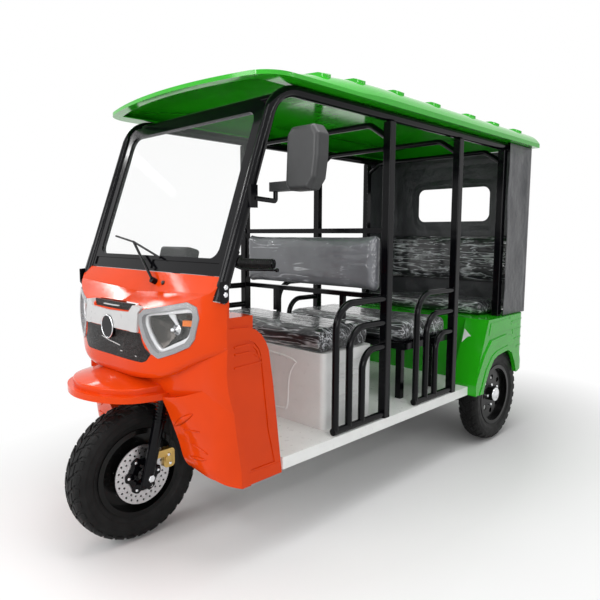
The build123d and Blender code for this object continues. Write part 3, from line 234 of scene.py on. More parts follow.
def honeycomb(name, colour):
    """Mesh plastic: cell walls painted paler as a painted highlight, round cells sunk by a bump and painted dark as
    painted shade in their hollows.
    """
    f = Finish(name, colour, 0.3)
    f.set(**{"Specular IOR Level": 0.12})
    wall = f.cells(150, "DISTANCE_TO_EDGE")
    # painted light: walls painted paler as if lit, cell middles painted dark as the shade in the hollows
    f.tint(f.between(wall, 0.04, 0.16), shade(colour, 4.0), shade(colour, 0.2))
    f.bump(f.between(wall, 0.03, 0.2, 1.0, 0.0), 0.002, 0.9)
    return f.material


finishes = {
    "orange_body": moulded_gloss("orange gelcoat", (0.66, 0.050, 0.003), 0.14),
    "green_body": moulded_gloss("green gelcoat", (0.020, 0.42, 0.008), 0.5),
    "black_paint": enamel("black enamel", (0.002, 0.002, 0.003), 0.12, 0.17),
    "white_paint": enamel("white enamel", (0.82, 0.83, 0.82), 0.3, 0.3),
    "black_leatherette": wrapped_leatherette("black leatherette in film", (0.012, 0.013, 0.015),
                                             (0.80, 0.82, 0.86), 0.22),
    "grey_leatherette": wrapped_leatherette("grey leatherette in film", (0.150, 0.155, 0.170),
                                            (0.70, 0.72, 0.76), 0.04),
    "canvas": woven("coated canvas", (0.040, 0.042, 0.047)),
    "tyre": rubber("tyre rubber"),
    "rim_black": enamel("black rim enamel", (0.003, 0.003, 0.003), 0.2, 0.2),
    "steel": bare_metal("ground steel", (0.56, 0.55, 0.56), 0.3),
    "glass": clear_sheet("clear glass", (0.50, 0.53, 0.52), 0.05),
    "chrome": bare_metal("bright plating", (0.75, 0.76, 0.78), 0.12),
    "silver_trim": enamel("silver paint", (0.50, 0.50, 0.50), 0.3, 0.4),
    "dark_plastic": honeycomb("black mesh plastic", (0.010, 0.010, 0.010)),
    "grey_plastic": grained_plastic("dark grey plastic", (0.020, 0.021, 0.022), 0.38),
    "rubber": rubber("soft black rubber", (0.010, 0.010, 0.010), 0.5),
    "gold": bare_metal("gold anodising", (0.62, 0.42, 0.14), 0.38),
    "battery_case": grained_plastic("battery case", (0.05, 0.05, 0.06)),
}
light_guide = enamel("clear light guide", (0.80, 0.80, 0.82), 0.12, 0.5)
smoked_bowl = bare_metal("smoked reflector", (0.048, 0.043, 0.040), 0.2)
lamp_shell = enamel("clear lamp rim", (0.27, 0.27, 0.28), 0.15, 0.4)
amber = moulded_gloss("amber lens", (0.80, 0.19, 0.015))
pale_leaf = enamel("pale leaf sheet", (0.78, 0.80, 0.78), 0.25, 0.3)
lace_cord = grained_plastic("pale lacing cord", (0.42, 0.42, 0.42), 0.6, 600)

for part in frame["record"]["subparts"]:
    solid = solids[part["node"]]
    solid.data.materials.clear()
    solid.data.materials.append(finishes[part["material_slot"]])


# ---------------------------------------------------------------- grids, bars and turned pieces

turning = {joint["name"]: np.array(joint["pos_m"], float) for joint in frame["joints"]}
front_hub = turning["front_wheel_spin"]
rear_hubs = {"left": turning["rear_left_wheel_spin"], "right": turning["rear_right_wheel_spin"]}
origin = np.array((rear_hubs["left"][0], front_hub[1], 0.0))


def spot(x, y, z):
    """Points measured from the rear axle's foot on the middle plane, as one array."""
    return np.stack(np.broadcast_arrays(x, y, z), -1) + origin


def made(name, points, faces, finish, body, smooth=True):
    """A finished piece from its points and faces, riding on a body, its faces turned outwards."""
    mesh = bpy.data.meshes.new(name)
    mesh.from_pydata(np.reshape(points, (-1, 3)).tolist(), [], faces)
    shell = bmesh.new()
    shell.from_mesh(mesh)
    bmesh.ops.recalc_face_normals(shell, faces=shell.faces)
    shell.to_mesh(mesh)
    shell.free()
    mesh.polygons.foreach_set("use_smooth", np.full(len(mesh.polygons), smooth))
    mesh.materials.append(finish)
    piece = bpy.data.objects.new(name, mesh)
    bpy.context.scene.collection.objects.link(piece)
    if body:
        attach(piece, body)
    return piece


def grid_faces(rows, columns, closed_rows=False, closed_columns=False):
    """Four-sided faces between neighbouring rows and columns of a grid of points."""
    index = np.arange(rows * columns).reshape(rows, columns)
    if closed_columns:
        index = np.concatenate([index, index[:, :1]], 1)
    if closed_rows:
        index = np.concatenate([index, index[:1]], 0)
    return np.stack([index[:-1, :-1], index[:-1, 1:], index[1:, 1:], index[1:, :-1]], -1).reshape(-1, 4).tolist()


def surface(name, points, finish, body, closed_rows=False, closed_columns=False):
    """A piece whose points are a grid of rows and columns, closed on itself either way if asked."""
    rows, columns = points.shape[:2]
    return made(name, points, grid_faces(rows, columns, closed_rows, closed_columns), finish, body)


def bars(name, rings, finish, body, closed=False, smooth=False):
    """Many bars in one mesh. rings[bar, station, corner] are points: each bar joins its stations corner to
    corner, and has a flat cap at each end unless it closes on itself."""
    count, stations, corners = rings.shape[:3]
    block = np.array(grid_faces(stations, corners, closed, True))
    starts = np.arange(count)[:, None, None] * stations * corners
    faces = (block[None] + starts).reshape(-1, 4).tolist()
    if not closed:
        ends = np.stack([np.arange(corners), np.arange(corners)[::-1] + (stations - 1) * corners])
        faces += (ends[None] + starts).reshape(-1, corners).tolist()
    return made(name, rings, faces, finish, body, smooth)


def turned(centre, axis, profile, sides):
    """Rings of a profile of (distance along the axis, radius) pairs turned about an axis: one ring a pair."""
    axis = np.array(axis, float) / np.linalg.norm(axis)
    side = np.cross(axis, (0, 0, 1.0)) if abs(axis[2]) < 0.9 else np.cross(axis, (1.0, 0, 0))
    side = side / np.linalg.norm(side)
    up = np.cross(axis, side)
    angle = 2 * pi * np.arange(sides) / sides
    circle = np.cos(angle)[:, None] * side + np.sin(angle)[:, None] * up
    profile = np.array(profile, float)
    return np.array(centre) + profile[:, 0, None, None] * axis + profile[:, 1, None, None] * circle


def rod(path, radius, sides=8):
    """Rings round a path of points, square to it: the side direction is the path crossed with an upright."""
    path = np.array(path, float)
    along = np.gradient(path, axis=0)
    along /= np.linalg.norm(along, axis=1, keepdims=True)
    upright = np.where(np.abs(along[:, 2:]) > 0.95, (1.0, 0, 0), (0, 0, 1.0))
    side = np.cross(along, upright)
    side /= np.linalg.norm(side, axis=1, keepdims=True)
    up = np.cross(side, along)
    angle = 2 * pi * np.arange(sides) / sides
    radius = np.broadcast_to(radius, len(path))[:, None, None]
    return path[:, None] + radius * (np.cos(angle)[:, None] * side[:, None] + np.sin(angle)[:, None] * up[:, None])


def softened(points, rounds):
    """A loop with its corners cut off again and again, a quarter of the way along each side."""
    points = np.array(points, float)
    for _ in range(rounds):
        after = np.roll(points, -1, 0)
        cut = np.stack([0.75 * points + 0.25 * after, 0.25 * points + 0.75 * after], 1)
        points = cut.reshape(-1, points.shape[1])
    return points


def drawn_in(loop, distance):
    """A flat loop moved inwards by a distance, square to itself."""
    along = np.roll(loop, -1, 0) - np.roll(loop, 1, 0)
    along /= np.linalg.norm(along, axis=1, keepdims=True)
    inward = np.stack([-along[:, 1], along[:, 0]], -1)
    centre = loop.mean(0) - loop
    inward *= np.sign((inward * centre).sum(1).mean())
    return loop + inward * np.reshape(distance, (-1, 1))


# ---------------------------------------------------------------- tyres, brake and hubs

crown_share = (0, 0.35, 0.6, 0.8, 0.92, 1)
crown_across = (0, 0.018, 0.031, 0.041, 0.0468, 0.0495)
crown_radius = (0.2478, 0.2470, 0.2450, 0.2405, 0.2335, 0.2230)
crown_lean = (0, 0.02, 0.1, 0.4, 0.85, 1.3)
lug_height = 0.0045
lug_count = 32
lug_sunk = -0.002
lug_bevel = 0.0012


def on_crown(share, proud):
    """Across and radius of the tread, by share of its half width, proud of the rubber under it."""
    size = np.abs(share)
    lean = np.interp(size, crown_share, crown_lean)
    across = np.interp(size, crown_share, crown_across) + proud * np.sin(lean)
    return np.sign(share) * across, np.interp(size, crown_share, crown_radius) + proud * np.cos(lean)


def round_hub(hub, across, radius, angle):
    """Points at a distance across and a radius and angle round a hub, on the vehicle's cross axis."""
    return np.array(hub) + np.stack(np.broadcast_arrays(radius * np.cos(angle), across, radius * np.sin(angle)), -1)


def tyre(hub, name, node, body):
    """The carcass is a closed section turned about the hub. The lugs are bars laid across the crown: a skewed
    pair by the middle and a longer pair round each shoulder, each row half a pitch on from the next."""
    crown = np.stack(on_crown(np.linspace(0, 1, 14), 0.0), -1)
    wall = np.array([(0.0512, 0.2160), (0.0516, 0.2135), (0.0507, 0.2115), (0.0512, 0.2050), (0.0508, 0.1960),
                     (0.0492, 0.1880), (0.0488, 0.1862), (0.0472, 0.1850), (0.0452, 0.1770), (0.0440, 0.1712),
                     (0.0412, 0.1672), (0.0405, 0.1640), (0.0400, 0.1530)])
    side = np.concatenate([crown, wall])
    section = np.concatenate([side, (side * (-1, 1))[:0:-1]])
    angle = 2 * pi * np.arange(120) / 120
    points = round_hub(hub, section[:, 0, None], section[:, 1, None], angle[None])
    carcass = surface(name, points, finishes["tyre"], body, True, True)
    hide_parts(node)
    rows = ((0.04, 0.40, 0.0, 0.30), (0.47, 0.93, 0.5, 0.10))
    pitch = 2 * pi / lug_count
    rings = []
    for low, high, shift, skew in rows:
        for way in (1, -1):
            share = np.linspace(low, high, 7)
            step = np.where(share > 0.66, 0.14, 0.0) if low > 0.42 else 0.0
            middle = pitch * (shift + (0.25 if way > 0 else 0.0) + skew * (share - low) / (high - low) + step)
            width = pitch * np.interp(share, (0, 0.42, 0.70, 0.95), (0.40, 0.43, 0.40, 0.33))
            ends = np.stack([middle - width, middle + width, middle + 0.86 * width, middle - 0.86 * width], -1)
            proud = np.array((lug_sunk, lug_sunk, lug_height, lug_height))
            across, radius = on_crown(way * share[:, None], proud[None])
            angles = ends[None] + pitch * np.arange(lug_count)[:, None, None]
            rings.append(round_hub(hub, across[None], radius[None], angles))
    tread = bars(name + "_lugs", np.concatenate(rings), finishes["tyre"], body)
    bevel = tread.modifiers.new("edges", "BEVEL")
    bevel.width = lug_bevel
    bevel.segments = 1


tyre(front_hub, "front_tyre_rubber", "front_tyre", "front_wheel")
for word, hub in rear_hubs.items():
    tyre(hub, f"rear_tyre_rubber_{word}", f"rear_tyre_{word}", f"rear_{word}_wheel")


def bolts(name, places, axis, radius, height, finish, body, sides=6):
    """Bolt heads as short turned bars with a bevelled top, one at each place."""
    profile = [(-0.001, radius), (0.75 * height, radius), (height, 0.78 * radius)]
    rings = np.stack([turned(place, axis, profile, sides) for place in places])
    return bars(name, rings, finish, body)


def round_places(hub, across, radius, count):
    """Evenly spaced places on a circle round a hub."""
    return round_hub(hub, across, radius, 2 * pi * np.arange(count) / count)


def star_plate(name, hub, low, high, inner, outer, wave, lobes, finish, body):
    """A flat plate whose rim waves in and out: the radius is the mean plus wave times a cosine, squared off."""
    steps = 180
    angle = 2 * pi * np.arange(steps) / steps
    rim = outer + wave * np.tanh(3 * np.cos(lobes * angle))
    rings = [round_hub(hub, across, radius, angle) for across, radius in
             ((low, np.full(steps, inner)), (low, rim), (high - 0.001, rim), (high, rim - 0.001),
              (high, np.full(steps, inner)))]
    return surface(name, np.stack(rings), finish, body, True, True)


disc_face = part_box("brake_disc")[1][1] - front_hub[1]
star_plate("disc_carrier", front_hub, disc_face + 0.0002, disc_face + 0.004, 0.022, 0.066, 0.006, 6,
           finishes["black_paint"], "front_wheel")
bolts("disc_bolts", round_places(front_hub, disc_face + 0.004, 0.060, 6), (0, 1, 0), 0.0055, 0.004,
      finishes["chrome"], "front_wheel", 12)
blank = [(-0.0006, 0.0139), (0.0006, 0.0139)]
blank_places = round_places(front_hub, 0.0, 0.095, 8)
bars("web_blanks", np.stack([turned(place, (0, 1, 0), blank, 20) for place in blank_places]),
     finishes["rim_black"], "front_wheel")
fork_low, fork_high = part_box("fork")
for way, edge, word in ((1, fork_high[1], "left"), (-1, fork_low[1], "right")):
    nut_foot = (front_hub[0], edge - way * 0.007, front_hub[2])
    bolts(f"axle_nut_{word}", [nut_foot], (0, way, 0), 0.0135, 0.009, finishes["chrome"], "steering")

for word, hub in rear_hubs.items():
    way = 1 if word == "left" else -1
    cap = [(0.040, 0.039), (0.047, 0.0388), (0.0505, 0.036), (0.0515, 0.031), (0.0500, 0.029), (0.0530, 0.022),
           (0.0575, 0.014), (0.0590, 0.005)]
    cap = [(way * across, radius) for across, radius in cap]
    bars(f"hub_cap_{word}", turned(hub, (0, 1, 0), cap, 40)[None], finishes["chrome"], f"rear_{word}_wheel",
         smooth=True)
    bolts(f"wheel_nuts_{word}", round_places(hub, way * 0.0205, 0.058, 5), (0, way, 0), 0.009, 0.014,
          finishes["chrome"], f"rear_{word}_wheel")
caliper_low, caliper_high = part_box("brake_caliper")
caliper_x = (caliper_low[0] + caliper_high[0]) / 2
bolts("caliper_bolts", [(caliper_x - 0.018, caliper_high[1], caliper_low[2] + 0.016),
                        (caliper_x - 0.012, caliper_high[1], caliper_high[2] - 0.022)],
      (0, 1, 0), 0.006, 0.004, finishes["chrome"], "steering", 12)
bolts("caliper_cover", [(caliper_x - 0.014, caliper_high[1], (caliper_low[2] + caliper_high[2]) / 2 - 0.002)],
      (0, 1, 0), 0.016, 0.003, finishes["gold"], "steering", 28)


# ---------------------------------------------------------------- nose: lamps, grille and screws

mask_heights = np.array((0.590, 0.700, 0.770, 0.830, 0.880, 0.940))
mask_shares = (0, 0.42, 0.67, 0.836, 0.94, 1)
mask_setbacks = np.array([(9, 19, 55, 89, 121, 155), (4, 14, 50, 84, 115, 150), (2, 12, 48, 82, 113, 147),
                          (2, 12, 47, 80, 111, 146), (8, 18, 51, 83, 113, 147), (18, 28, 58, 88, 117, 148)]) / 1000
nose_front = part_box("nose_cowl")[1][0] - origin[0] + 0.002
body_half_width = (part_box("floor_deck")[1][1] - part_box("floor_deck")[0][1]) / 2


def on_mask(y, z, proud):
    """Points on the nose's front wall: its setback is read between the plan outlines at each height."""
    y, z = np.broadcast_arrays(y, z)
    share = np.abs(y) / body_half_width
    at_height = np.stack([np.interp(share, mask_shares, row) for row in mask_setbacks])
    row = np.interp(z, mask_heights, np.arange(len(mask_heights)))
    low = np.clip(row.astype(int), 0, len(mask_heights) - 2)
    part = row - low
    below = np.take_along_axis(at_height, low[None], 0)[0]
    above = np.take_along_axis(at_height, low[None] + 1, 0)[0]
    return spot(nose_front - below * (1 - part) - above * part + proud, y, z)


lamp_middle, lamp_half, lamp_rim = 0.187, 0.228, 0.0165
lamp_edge = np.array([(187, 836), (186, 868), (203, 884), (280, 899), (372, 918), (405, 904), (415, 868),
                      (401, 802), (381, 775), (330, 750), (268, 727), (238, 742), (208, 786)]) / 1000
for way, word in ((1, "left"), (-1, "right")):
    solids[f"headlight_{word}"].data.materials[0] = lamp_shell
    loop = softened(lamp_edge * (way, 1), 2)
    outward = np.abs(loop[:, 0] - way * lamp_middle) / lamp_half
    band = 0.004 + 0.011 * np.clip(1.6 * outward, 0, 1)
    outer = drawn_in(loop, lamp_rim)
    inner = drawn_in(loop, lamp_rim + band)
    guide = np.stack([on_mask(outer[:, 0], outer[:, 1], -0.010), on_mask(inner[:, 0], inner[:, 1], -0.014),
                      on_mask(inner[:, 0], inner[:, 1], -0.026), on_mask(outer[:, 0], outer[:, 1], -0.022)], 1)
    bars(f"lamp_guide_{word}", guide[None], light_guide, "chassis", closed=True, smooth=True)
    centre = np.array((way * 0.300, 0.822))
    share = np.linspace(1, 0.06, 12)[:, None, None]
    bowl = centre + (inner[None] - centre) * share
    deep = 0.024 + 0.026 * (1 - share[:, :, 0] ** 2) + 0.0010 * np.cos(2 * pi * bowl[:, :, 0] / 0.011)
    surface(f"lamp_bowl_{word}", on_mask(bowl[:, :, 0], bowl[:, :, 1], -deep), smoked_bowl, "chassis",
            closed_columns=True)
    foot = on_mask(centre[0], centre[1], -0.052)
    cup = [(0.0, 0.020), (0.010, 0.021), (0.012, 0.019), (0.006, 0.012), (0.022, 0.0085), (0.030, 0.0075),
           (0.034, 0.004)]
    bars(f"lamp_bulb_{word}", turned(foot, (1, 0, 0), cup, 24)[None], finishes["chrome"], "chassis",
         smooth=True)
    rise = np.linspace(0, 1, 9)[:, None]
    spread = np.array((-1, -0.4, 0.4, 1))[None]
    sill_y = centre[0] + way * (0.004 - 0.020 * rise) + (0.007 + 0.020 * rise ** 2) * spread
    sill_z = centre[1] + 0.014 + 0.050 * rise
    face = on_mask(sill_y, sill_z, -(0.040 - 0.018 * rise) + 0.003 * (1 - spread ** 2))
    back = on_mask(sill_y, sill_z, -(0.043 - 0.018 * rise) + 0.003 * (1 - spread ** 2))
    bars(f"lamp_tongue_{word}", np.concatenate([face, back[:, ::-1]], 1)[None], light_guide, "chassis",
         smooth=True)
    amber_y = way * np.linspace(0.336, 0.384, 6)
    amber_z = np.array((0.836, 0.837, 0.855, 0.856))
    amber_in = np.array((-0.036, -0.026, -0.026, -0.036))
    bars(f"lamp_amber_{word}", on_mask(amber_y[:, None], amber_z[None], amber_in[None])[None], amber, "chassis")

grille_strips = [((-0.150, 0.744), (-0.095, 0.722)), ((-0.080, 0.768), (0.066, 0.748)),
                 ((0.066, 0.730), (0.165, 0.722)), ((-0.055, 0.884), (0.052, 0.884))]
strips = []
for start, end in grille_strips:
    across = np.linspace(start[0], end[0], 12)[:, None]
    height = np.interp(across, (start[0], end[0]), (start[1], end[1]))
    thick = 0.0017 * np.array((-1, 1, 1, -1))[None]
    strips.append(on_mask(across, height + thick, np.array((-0.004, -0.004, 0.0022, 0.0022))[None]))
bars("grille_strips", np.stack(strips), finishes["silver_trim"], "chassis")

badge_low, badge_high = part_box("badge")
badge_middle = ((badge_low[0] + badge_high[0]) / 2, (badge_low[1] + badge_high[1]) / 2,
                (badge_low[2] + badge_high[2]) / 2)
badge_radius = (badge_high[1] - badge_low[1]) / 2
badge_out = badge_high[0] - badge_middle[0]
ring_section = [(badge_out - 0.003, badge_radius - 0.0001), (badge_out - 0.003, badge_radius + 0.0012),
                (badge_out + 0.001, badge_radius + 0.0010), (badge_out + 0.0016, badge_radius - 0.0012),
                (badge_out + 0.0004, badge_radius - 0.0030), (badge_out - 0.001, badge_radius - 0.0030)]
ring = turned(badge_middle, (1, 0, 0), ring_section, 64)
surface("badge_ring", ring, finishes["chrome"], "chassis", True, True)

screw_places = ((1.873, 0.968), (1.874, 0.945))
for way, word in ((1, "left"), (-1, "right")):
    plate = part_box(f"side_rail_{word}")[1][1] if way > 0 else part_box(f"side_rail_{word}")[0][1]
    places = [(origin[0] + x, plate, z) for x, z in screw_places]
    head = [(-0.001, 0.0085), (0.0012, 0.0082), (0.0030, 0.0060), (0.0034, 0.0030), (0.0022, 0.0026)]
    bars(f"plate_screws_{word}", np.stack([turned(place, (0, way, 0), head, 20) for place in places]),
         finishes["chrome"], "chassis")


# ---------------------------------------------------------------- soft goods

def crease_height(a, b, seed, reach):
    """Wrapping creases as heights: narrow ridges where slanted waves cross their middle, in drifting patches."""
    draw = np.random.default_rng(seed)
    height = np.zeros(np.broadcast(a, b).shape)
    for _ in range(9):
        turn = draw.normal(0.6, 0.55)
        pitch = draw.uniform(0.035, 0.11)
        drift = draw.uniform(0, 2 * pi, 3)
        run = (a * np.cos(turn) + b * np.sin(turn)
               + 0.02 * np.sin(7 * a + drift[0]) + 0.015 * np.sin(11 * b + drift[1]))
        ridge = np.maximum(0, 1 - np.abs(np.sin(pi * run / pitch + drift[2])) / 0.16)
        patch = np.clip(np.sin(draw.uniform(5, 11) * a + draw.uniform(5, 11) * b + drift[1]), 0, 1)
        height += ridge ** 2 * patch * draw.uniform(0.4, 1.0)
    return reach * np.clip(height, 0, 1.3)


def pad(name, node, finish, flat_side, seed):
    """A stuffed pad: a block a little smaller than its space, rounded, divided into small cells and blown up by
    cloth pressure. Each point then moves no further than pad_swell, and stays flat where it rests."""
    low, high = (np.array(corner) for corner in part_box(node))
    small_low, small_high = low + pad_inset, high - pad_inset
    mesh = bpy.data.meshes.new(name)
    shell = bmesh.new()
    bmesh.ops.create_cube(shell, size=1.0)
    bmesh.ops.scale(shell, vec=Vector(small_high - small_low), verts=shell.verts)
    bmesh.ops.translate(shell, vec=Vector((small_low + small_high) / 2), verts=shell.verts)
    bmesh.ops.bevel(shell, geom=list(shell.edges), offset=0.014, segments=3, affect="EDGES")
    shell.to_mesh(mesh)
    shell.free()
    piece = bpy.data.objects.new(name, mesh)
    bpy.context.scene.collection.objects.link(piece)
    remesh = piece.modifiers.new("cells", "REMESH")
    remesh.mode = "VOXEL"
    remesh.voxel_size = pad_voxel
    settle(piece)
    start = points_of(piece)
    blow = piece.modifiers.new("cloth", "CLOTH")
    blow.settings.use_pressure = True
    blow.settings.uniform_pressure_force = 4
    blow.settings.effector_weights.gravity = 0
    blow.settings.quality = 4
    blow.collision_settings.use_collision = False
    for step in range(1, blow_steps + 1):
        bpy.context.scene.frame_set(step)
    settle(piece)
    bpy.context.scene.frame_set(1)
    moved = points_of(piece) - start
    length = np.linalg.norm(moved, axis=1, keepdims=True)
    shaped = start + moved * np.minimum(1, pad_swell / np.maximum(length, 1e-9))
    axis, end = flat_side
    flat = (low if end < 0 else high)[axis]
    near = np.clip(1 - np.abs(shaped[:, axis] - flat) / 0.02, 0, 1)
    shaped[:, axis] = shaped[:, axis] * (1 - near) + (flat - end * 0.001) * near
    share = (shaped - low) / (high - low) * 2 - 1
    others = [k for k in range(3) if k != axis]
    away = np.clip((shaped[:, axis] - (low + high)[axis] / 2) * -end / (high - low)[axis] * 4, 0, 1)
    shaped[:, axis] += -end * away * crease_height(shaped[:, others[0]], shaped[:, others[1]], seed, 0.0022)
    for k, other in ((others[0], others[1]), (others[1], others[0])):
        edge = np.clip((np.abs(share[:, k]) - 0.92) * 12, 0, 1)
        side_creases = crease_height(shaped[:, axis] * 1.6, shaped[:, other], seed + 5, 0.0015)
        shaped[:, k] += np.sign(share[:, k]) * edge * side_creases
    shaped = np.clip(shaped, low - 0.004, high + 0.006)
    piece.data.vertices.foreach_set("co", shaped.ravel())
    piece.data.polygons.foreach_set("use_smooth", np.ones(len(piece.data.polygons), bool))
    finer = piece.modifiers.new("finer", "SUBSURF")
    finer.levels = finer.render_levels = 1
    piece.data.materials.clear()
    piece.data.materials.append(finish)
    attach(piece, "chassis")
    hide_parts(node)
    return piece


def settle(piece):
    """Leaves the piece with the mesh that its modifiers make, and no modifiers."""
    bpy.context.view_layer.update()
    shape = piece.evaluated_get(bpy.context.evaluated_depsgraph_get())
    mesh = bpy.data.meshes.new_from_object(shape)
    piece.modifiers.clear()
    piece.data = mesh


def points_of(piece):
    """The mesh points of a piece, as rows of three."""
    points = np.empty(len(piece.data.vertices) * 3)
    piece.data.vertices.foreach_get("co", points)
    return points.reshape(-1, 3)


pad_voxel = 0.009
pad_swell = 0.012
pad_inset = 0.006
blow_steps = 20
first_pad_seed = 20
pads = (("driver_seat_pad", "driver_cushion", "black_leatherette", (2, -1)),
        ("bench_seat_pad", "bench_cushion", "black_leatherette", (2, -1)),
        ("rear_seat_pad", "rear_cushion", "black_leatherette", (2, -1)),
        ("driver_back_pad", "driver_backrest", "grey_leatherette", (0, -1)),
        ("rear_back_pad", "rear_backrest", "black_leatherette", (0, -1)))
for place, (name, node, slot, flat_side) in enumerate(pads):
    pad(name, node, finishes[slot], flat_side, first_pad_seed + place)


cloth_thickness = 0.0016
side_fold, rear_fold = 0.013, 0.007
rear_slack = 0.009


def canvas_waves(a, b, seed, reach):
    """Slack cloth as heights: seven long slanted cosine waves, each faded in and out in drifting patches."""
    draw = np.random.default_rng(seed)
    height = np.zeros(a.shape)
    for _ in range(7):
        turn, pitch = draw.normal(0, 0.5), draw.uniform(0.12, 0.34)
        drift = draw.uniform(0, 2 * pi, 2)
        run = a * np.cos(turn) + b * np.sin(turn)
        height += (draw.uniform(0.3, 1) * np.cos(2 * pi * run / pitch + drift[0])
                   * np.clip(0.5 + 0.7 * np.sin(4 * a - 3 * b + drift[1]), 0, 1))
    return reach * height / 3


def hemmed(edge_distance):
    """The hem's rise near a sheet's edge: a doubled strip with a stitched line sunk along its inner side."""
    strip = np.clip((0.026 - edge_distance) / 0.003, 0, 1)
    stitch = np.exp(-((edge_distance - 0.021) / 0.0012) ** 2)
    return 0.0015 * strip - 0.0010 * stitch


def thicken(piece):
    """Gives a sheet its cloth's thickness, half of it to each side."""
    wall = piece.modifiers.new("cloth thickness", "SOLIDIFY")
    wall.thickness = cloth_thickness
    wall.offset = 0


for way, word in ((1, "left"), (-1, "right")):
    low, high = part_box(f"canvas_{word}")
    x = np.linspace(low[0] + 0.001, high[0], 70)[None]
    z = np.linspace(low[2] + 0.0015, high[2] - 0.001, 220)[:, None]
    x, z = np.broadcast_arrays(x, z)
    edge = np.minimum(np.minimum(x - low[0], high[0] - x), np.minimum(z - low[2], high[2] - z))
    foot = np.clip((z - low[2]) / 0.15, 0.25, 1) * np.clip((high[2] - z) / 0.1, 0, 1)
    foot = foot * np.clip((x - low[0]) / 0.05, 0, 1)
    y = (low[1] + high[1]) / 2 + way * (canvas_waves(x, z, 41 + way, side_fold) * foot + hemmed(edge) + 0.003)
    sheet = surface(f"canvas_sheet_{word}", np.stack([x, y, z], -1), finishes["canvas"], "chassis")
    thicken(sheet)
    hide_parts(f"canvas_{word}")

low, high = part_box("canvas_rear")
window_height, window_round, window_corners_area = 1.330, 0.045, 0.0017
middle = np.array(((low[1] + high[1]) / 2, window_height))
half = np.array(((high[1] - low[1]) / 2, (high[2] - low[2]) / 2))
steps = 140
side_steps = np.linspace(-1, 1, steps, endpoint=False)
square = np.concatenate([np.stack([side_steps, -np.ones(steps)], -1), np.stack([np.ones(steps), side_steps], -1),
                         np.stack([-side_steps, np.ones(steps)], -1), np.stack([-np.ones(steps), -side_steps], -1)])
window_half = np.array((0.2500, 0.1050))
corner = np.maximum(np.abs(square) * window_half - (window_half - window_round), 0)
excess = np.linalg.norm(corner, axis=1, keepdims=True)
inner = square * window_half
inner -= np.sign(square) * corner * np.maximum(0, 1 - window_round / np.maximum(excess, 1e-9))
window = middle + inner
outer = np.array(((low[1] + high[1]) / 2, (low[2] + high[2]) / 2)) + square * (half - 0.0012)
share = np.linspace(0, 1, 90)[:, None, None] ** 1.25
flat = window[None] * (1 - share) + outer[None] * share
edge = np.minimum(np.linalg.norm(flat - window[None], axis=-1),
                  np.minimum(half[0] - np.abs(flat[..., 0] - middle[0]),
                             np.minimum(flat[..., 1] - low[2], high[2] - flat[..., 1])))
calm = np.clip(edge / 0.06, 0, 1)
slack = rear_slack + canvas_waves(flat[..., 0], flat[..., 1], 44, rear_fold)
x = (low[0] + high[0]) / 2 - slack * calm - hemmed(edge)
sheet = surface("canvas_sheet_rear", np.stack([x, flat[..., 0], flat[..., 1]], -1), finishes["canvas"], "chassis",
                closed_columns=True)
thicken(sheet)
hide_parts("canvas_rear")

# The right sheet's front edge is laced to its post: the cord goes from an eyelet over to the post and down
low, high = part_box("canvas_right")
turns, cord_radius = 30, 0.0026
post_line, post_reach = 0.4815, 0.038
step = np.arange(2 * turns + 1)
z = np.linspace(high[2] - 0.06, low[2] + 0.05, 2 * turns + 1)
x = np.where(step % 2, high[0] - 0.010, high[0] + 0.030)
y = np.where(step % 2, (low[1] + high[1]) / 2 + 0.0075, origin[1] - post_line + post_reach)
lace = rod(np.stack([x, y, z], -1), cord_radius, 6)
bars("lacing_right", lace[None], lace_cord, "chassis", smooth=True)


# ---------------------------------------------------------------- small fittings

grip_root = np.array((1.600, 0.215, 1.0249))
grip_way = np.array((-0.3901, 0.9208, 0.0))
grip_stations = 69
for way, word in ((1, "left"), (-1, "right")):
    run = np.linspace(0.006, 0.142, grip_stations)
    ribs = 0.0181 + 0.0009 * (np.arange(grip_stations) % 4 < 2)
    ribs[:4] = 0.0225
    ribs[-2:] = (0.0190, 0.0120)
    path = grip_root + run[:, None] * grip_way
    path = path * (1, way, 1) + origin
    bars(f"grip_{word}", rod(path, ribs, 20)[None], finishes["rubber"], "steering")

low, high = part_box("mirror_housing")
loop = softened([(0.575, 1.286), (0.668, 1.286), (0.678, 1.310), (0.676, 1.440), (0.660, 1.452), (0.572, 1.452),
                 (0.563, 1.436), (0.566, 1.300)], 2)
share = np.linspace(1, 0.02, 6)[:, None, None]
rings = loop.mean(0) + (loop[None] - loop.mean(0)) * share
surface("mirror_glass", spot(low[0] - origin[0] - 0.0015 + 0.001 * share[:, :, 0], rings[..., 0], rings[..., 1]),
        finishes["chrome"], "chassis", closed_columns=True)

# The seat box's side ribs, five on each side
low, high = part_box("seat_box")
for way, word in ((1, "left"), (-1, "right")):
    face = high[1] if way > 0 else low[1]
    x = np.linspace(low[0] + 0.045, high[0] - 0.045, 9)[:, None]
    section = np.array([(-0.0012, -0.0075), (0.0030, -0.0030), (0.0030, 0.0030), (-0.0012, 0.0075)])
    ribs = [np.stack(np.broadcast_arrays(x, face + way * section[None, :, 0], z + section[None, :, 1]), -1)
            for z in (0.452, 0.478, 0.540, 0.566, 0.610)]
    bars(f"box_ribs_{word}", np.stack(ribs), finishes["white_paint"], "chassis")


# ---------------------------------------------------------------- moulded details

def on_solid(node, starts, way):
    """Where rays from the start points, all one way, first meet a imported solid."""
    mesh = solids[node].data
    tree = BVHTree.FromPolygons([v.co for v in mesh.vertices], [p.vertices for p in mesh.polygons])
    flat = [tree.ray_cast(Vector(point), Vector(way))[0] for point in np.reshape(starts, (-1, 3))]
    return np.array(flat).reshape(np.shape(starts))


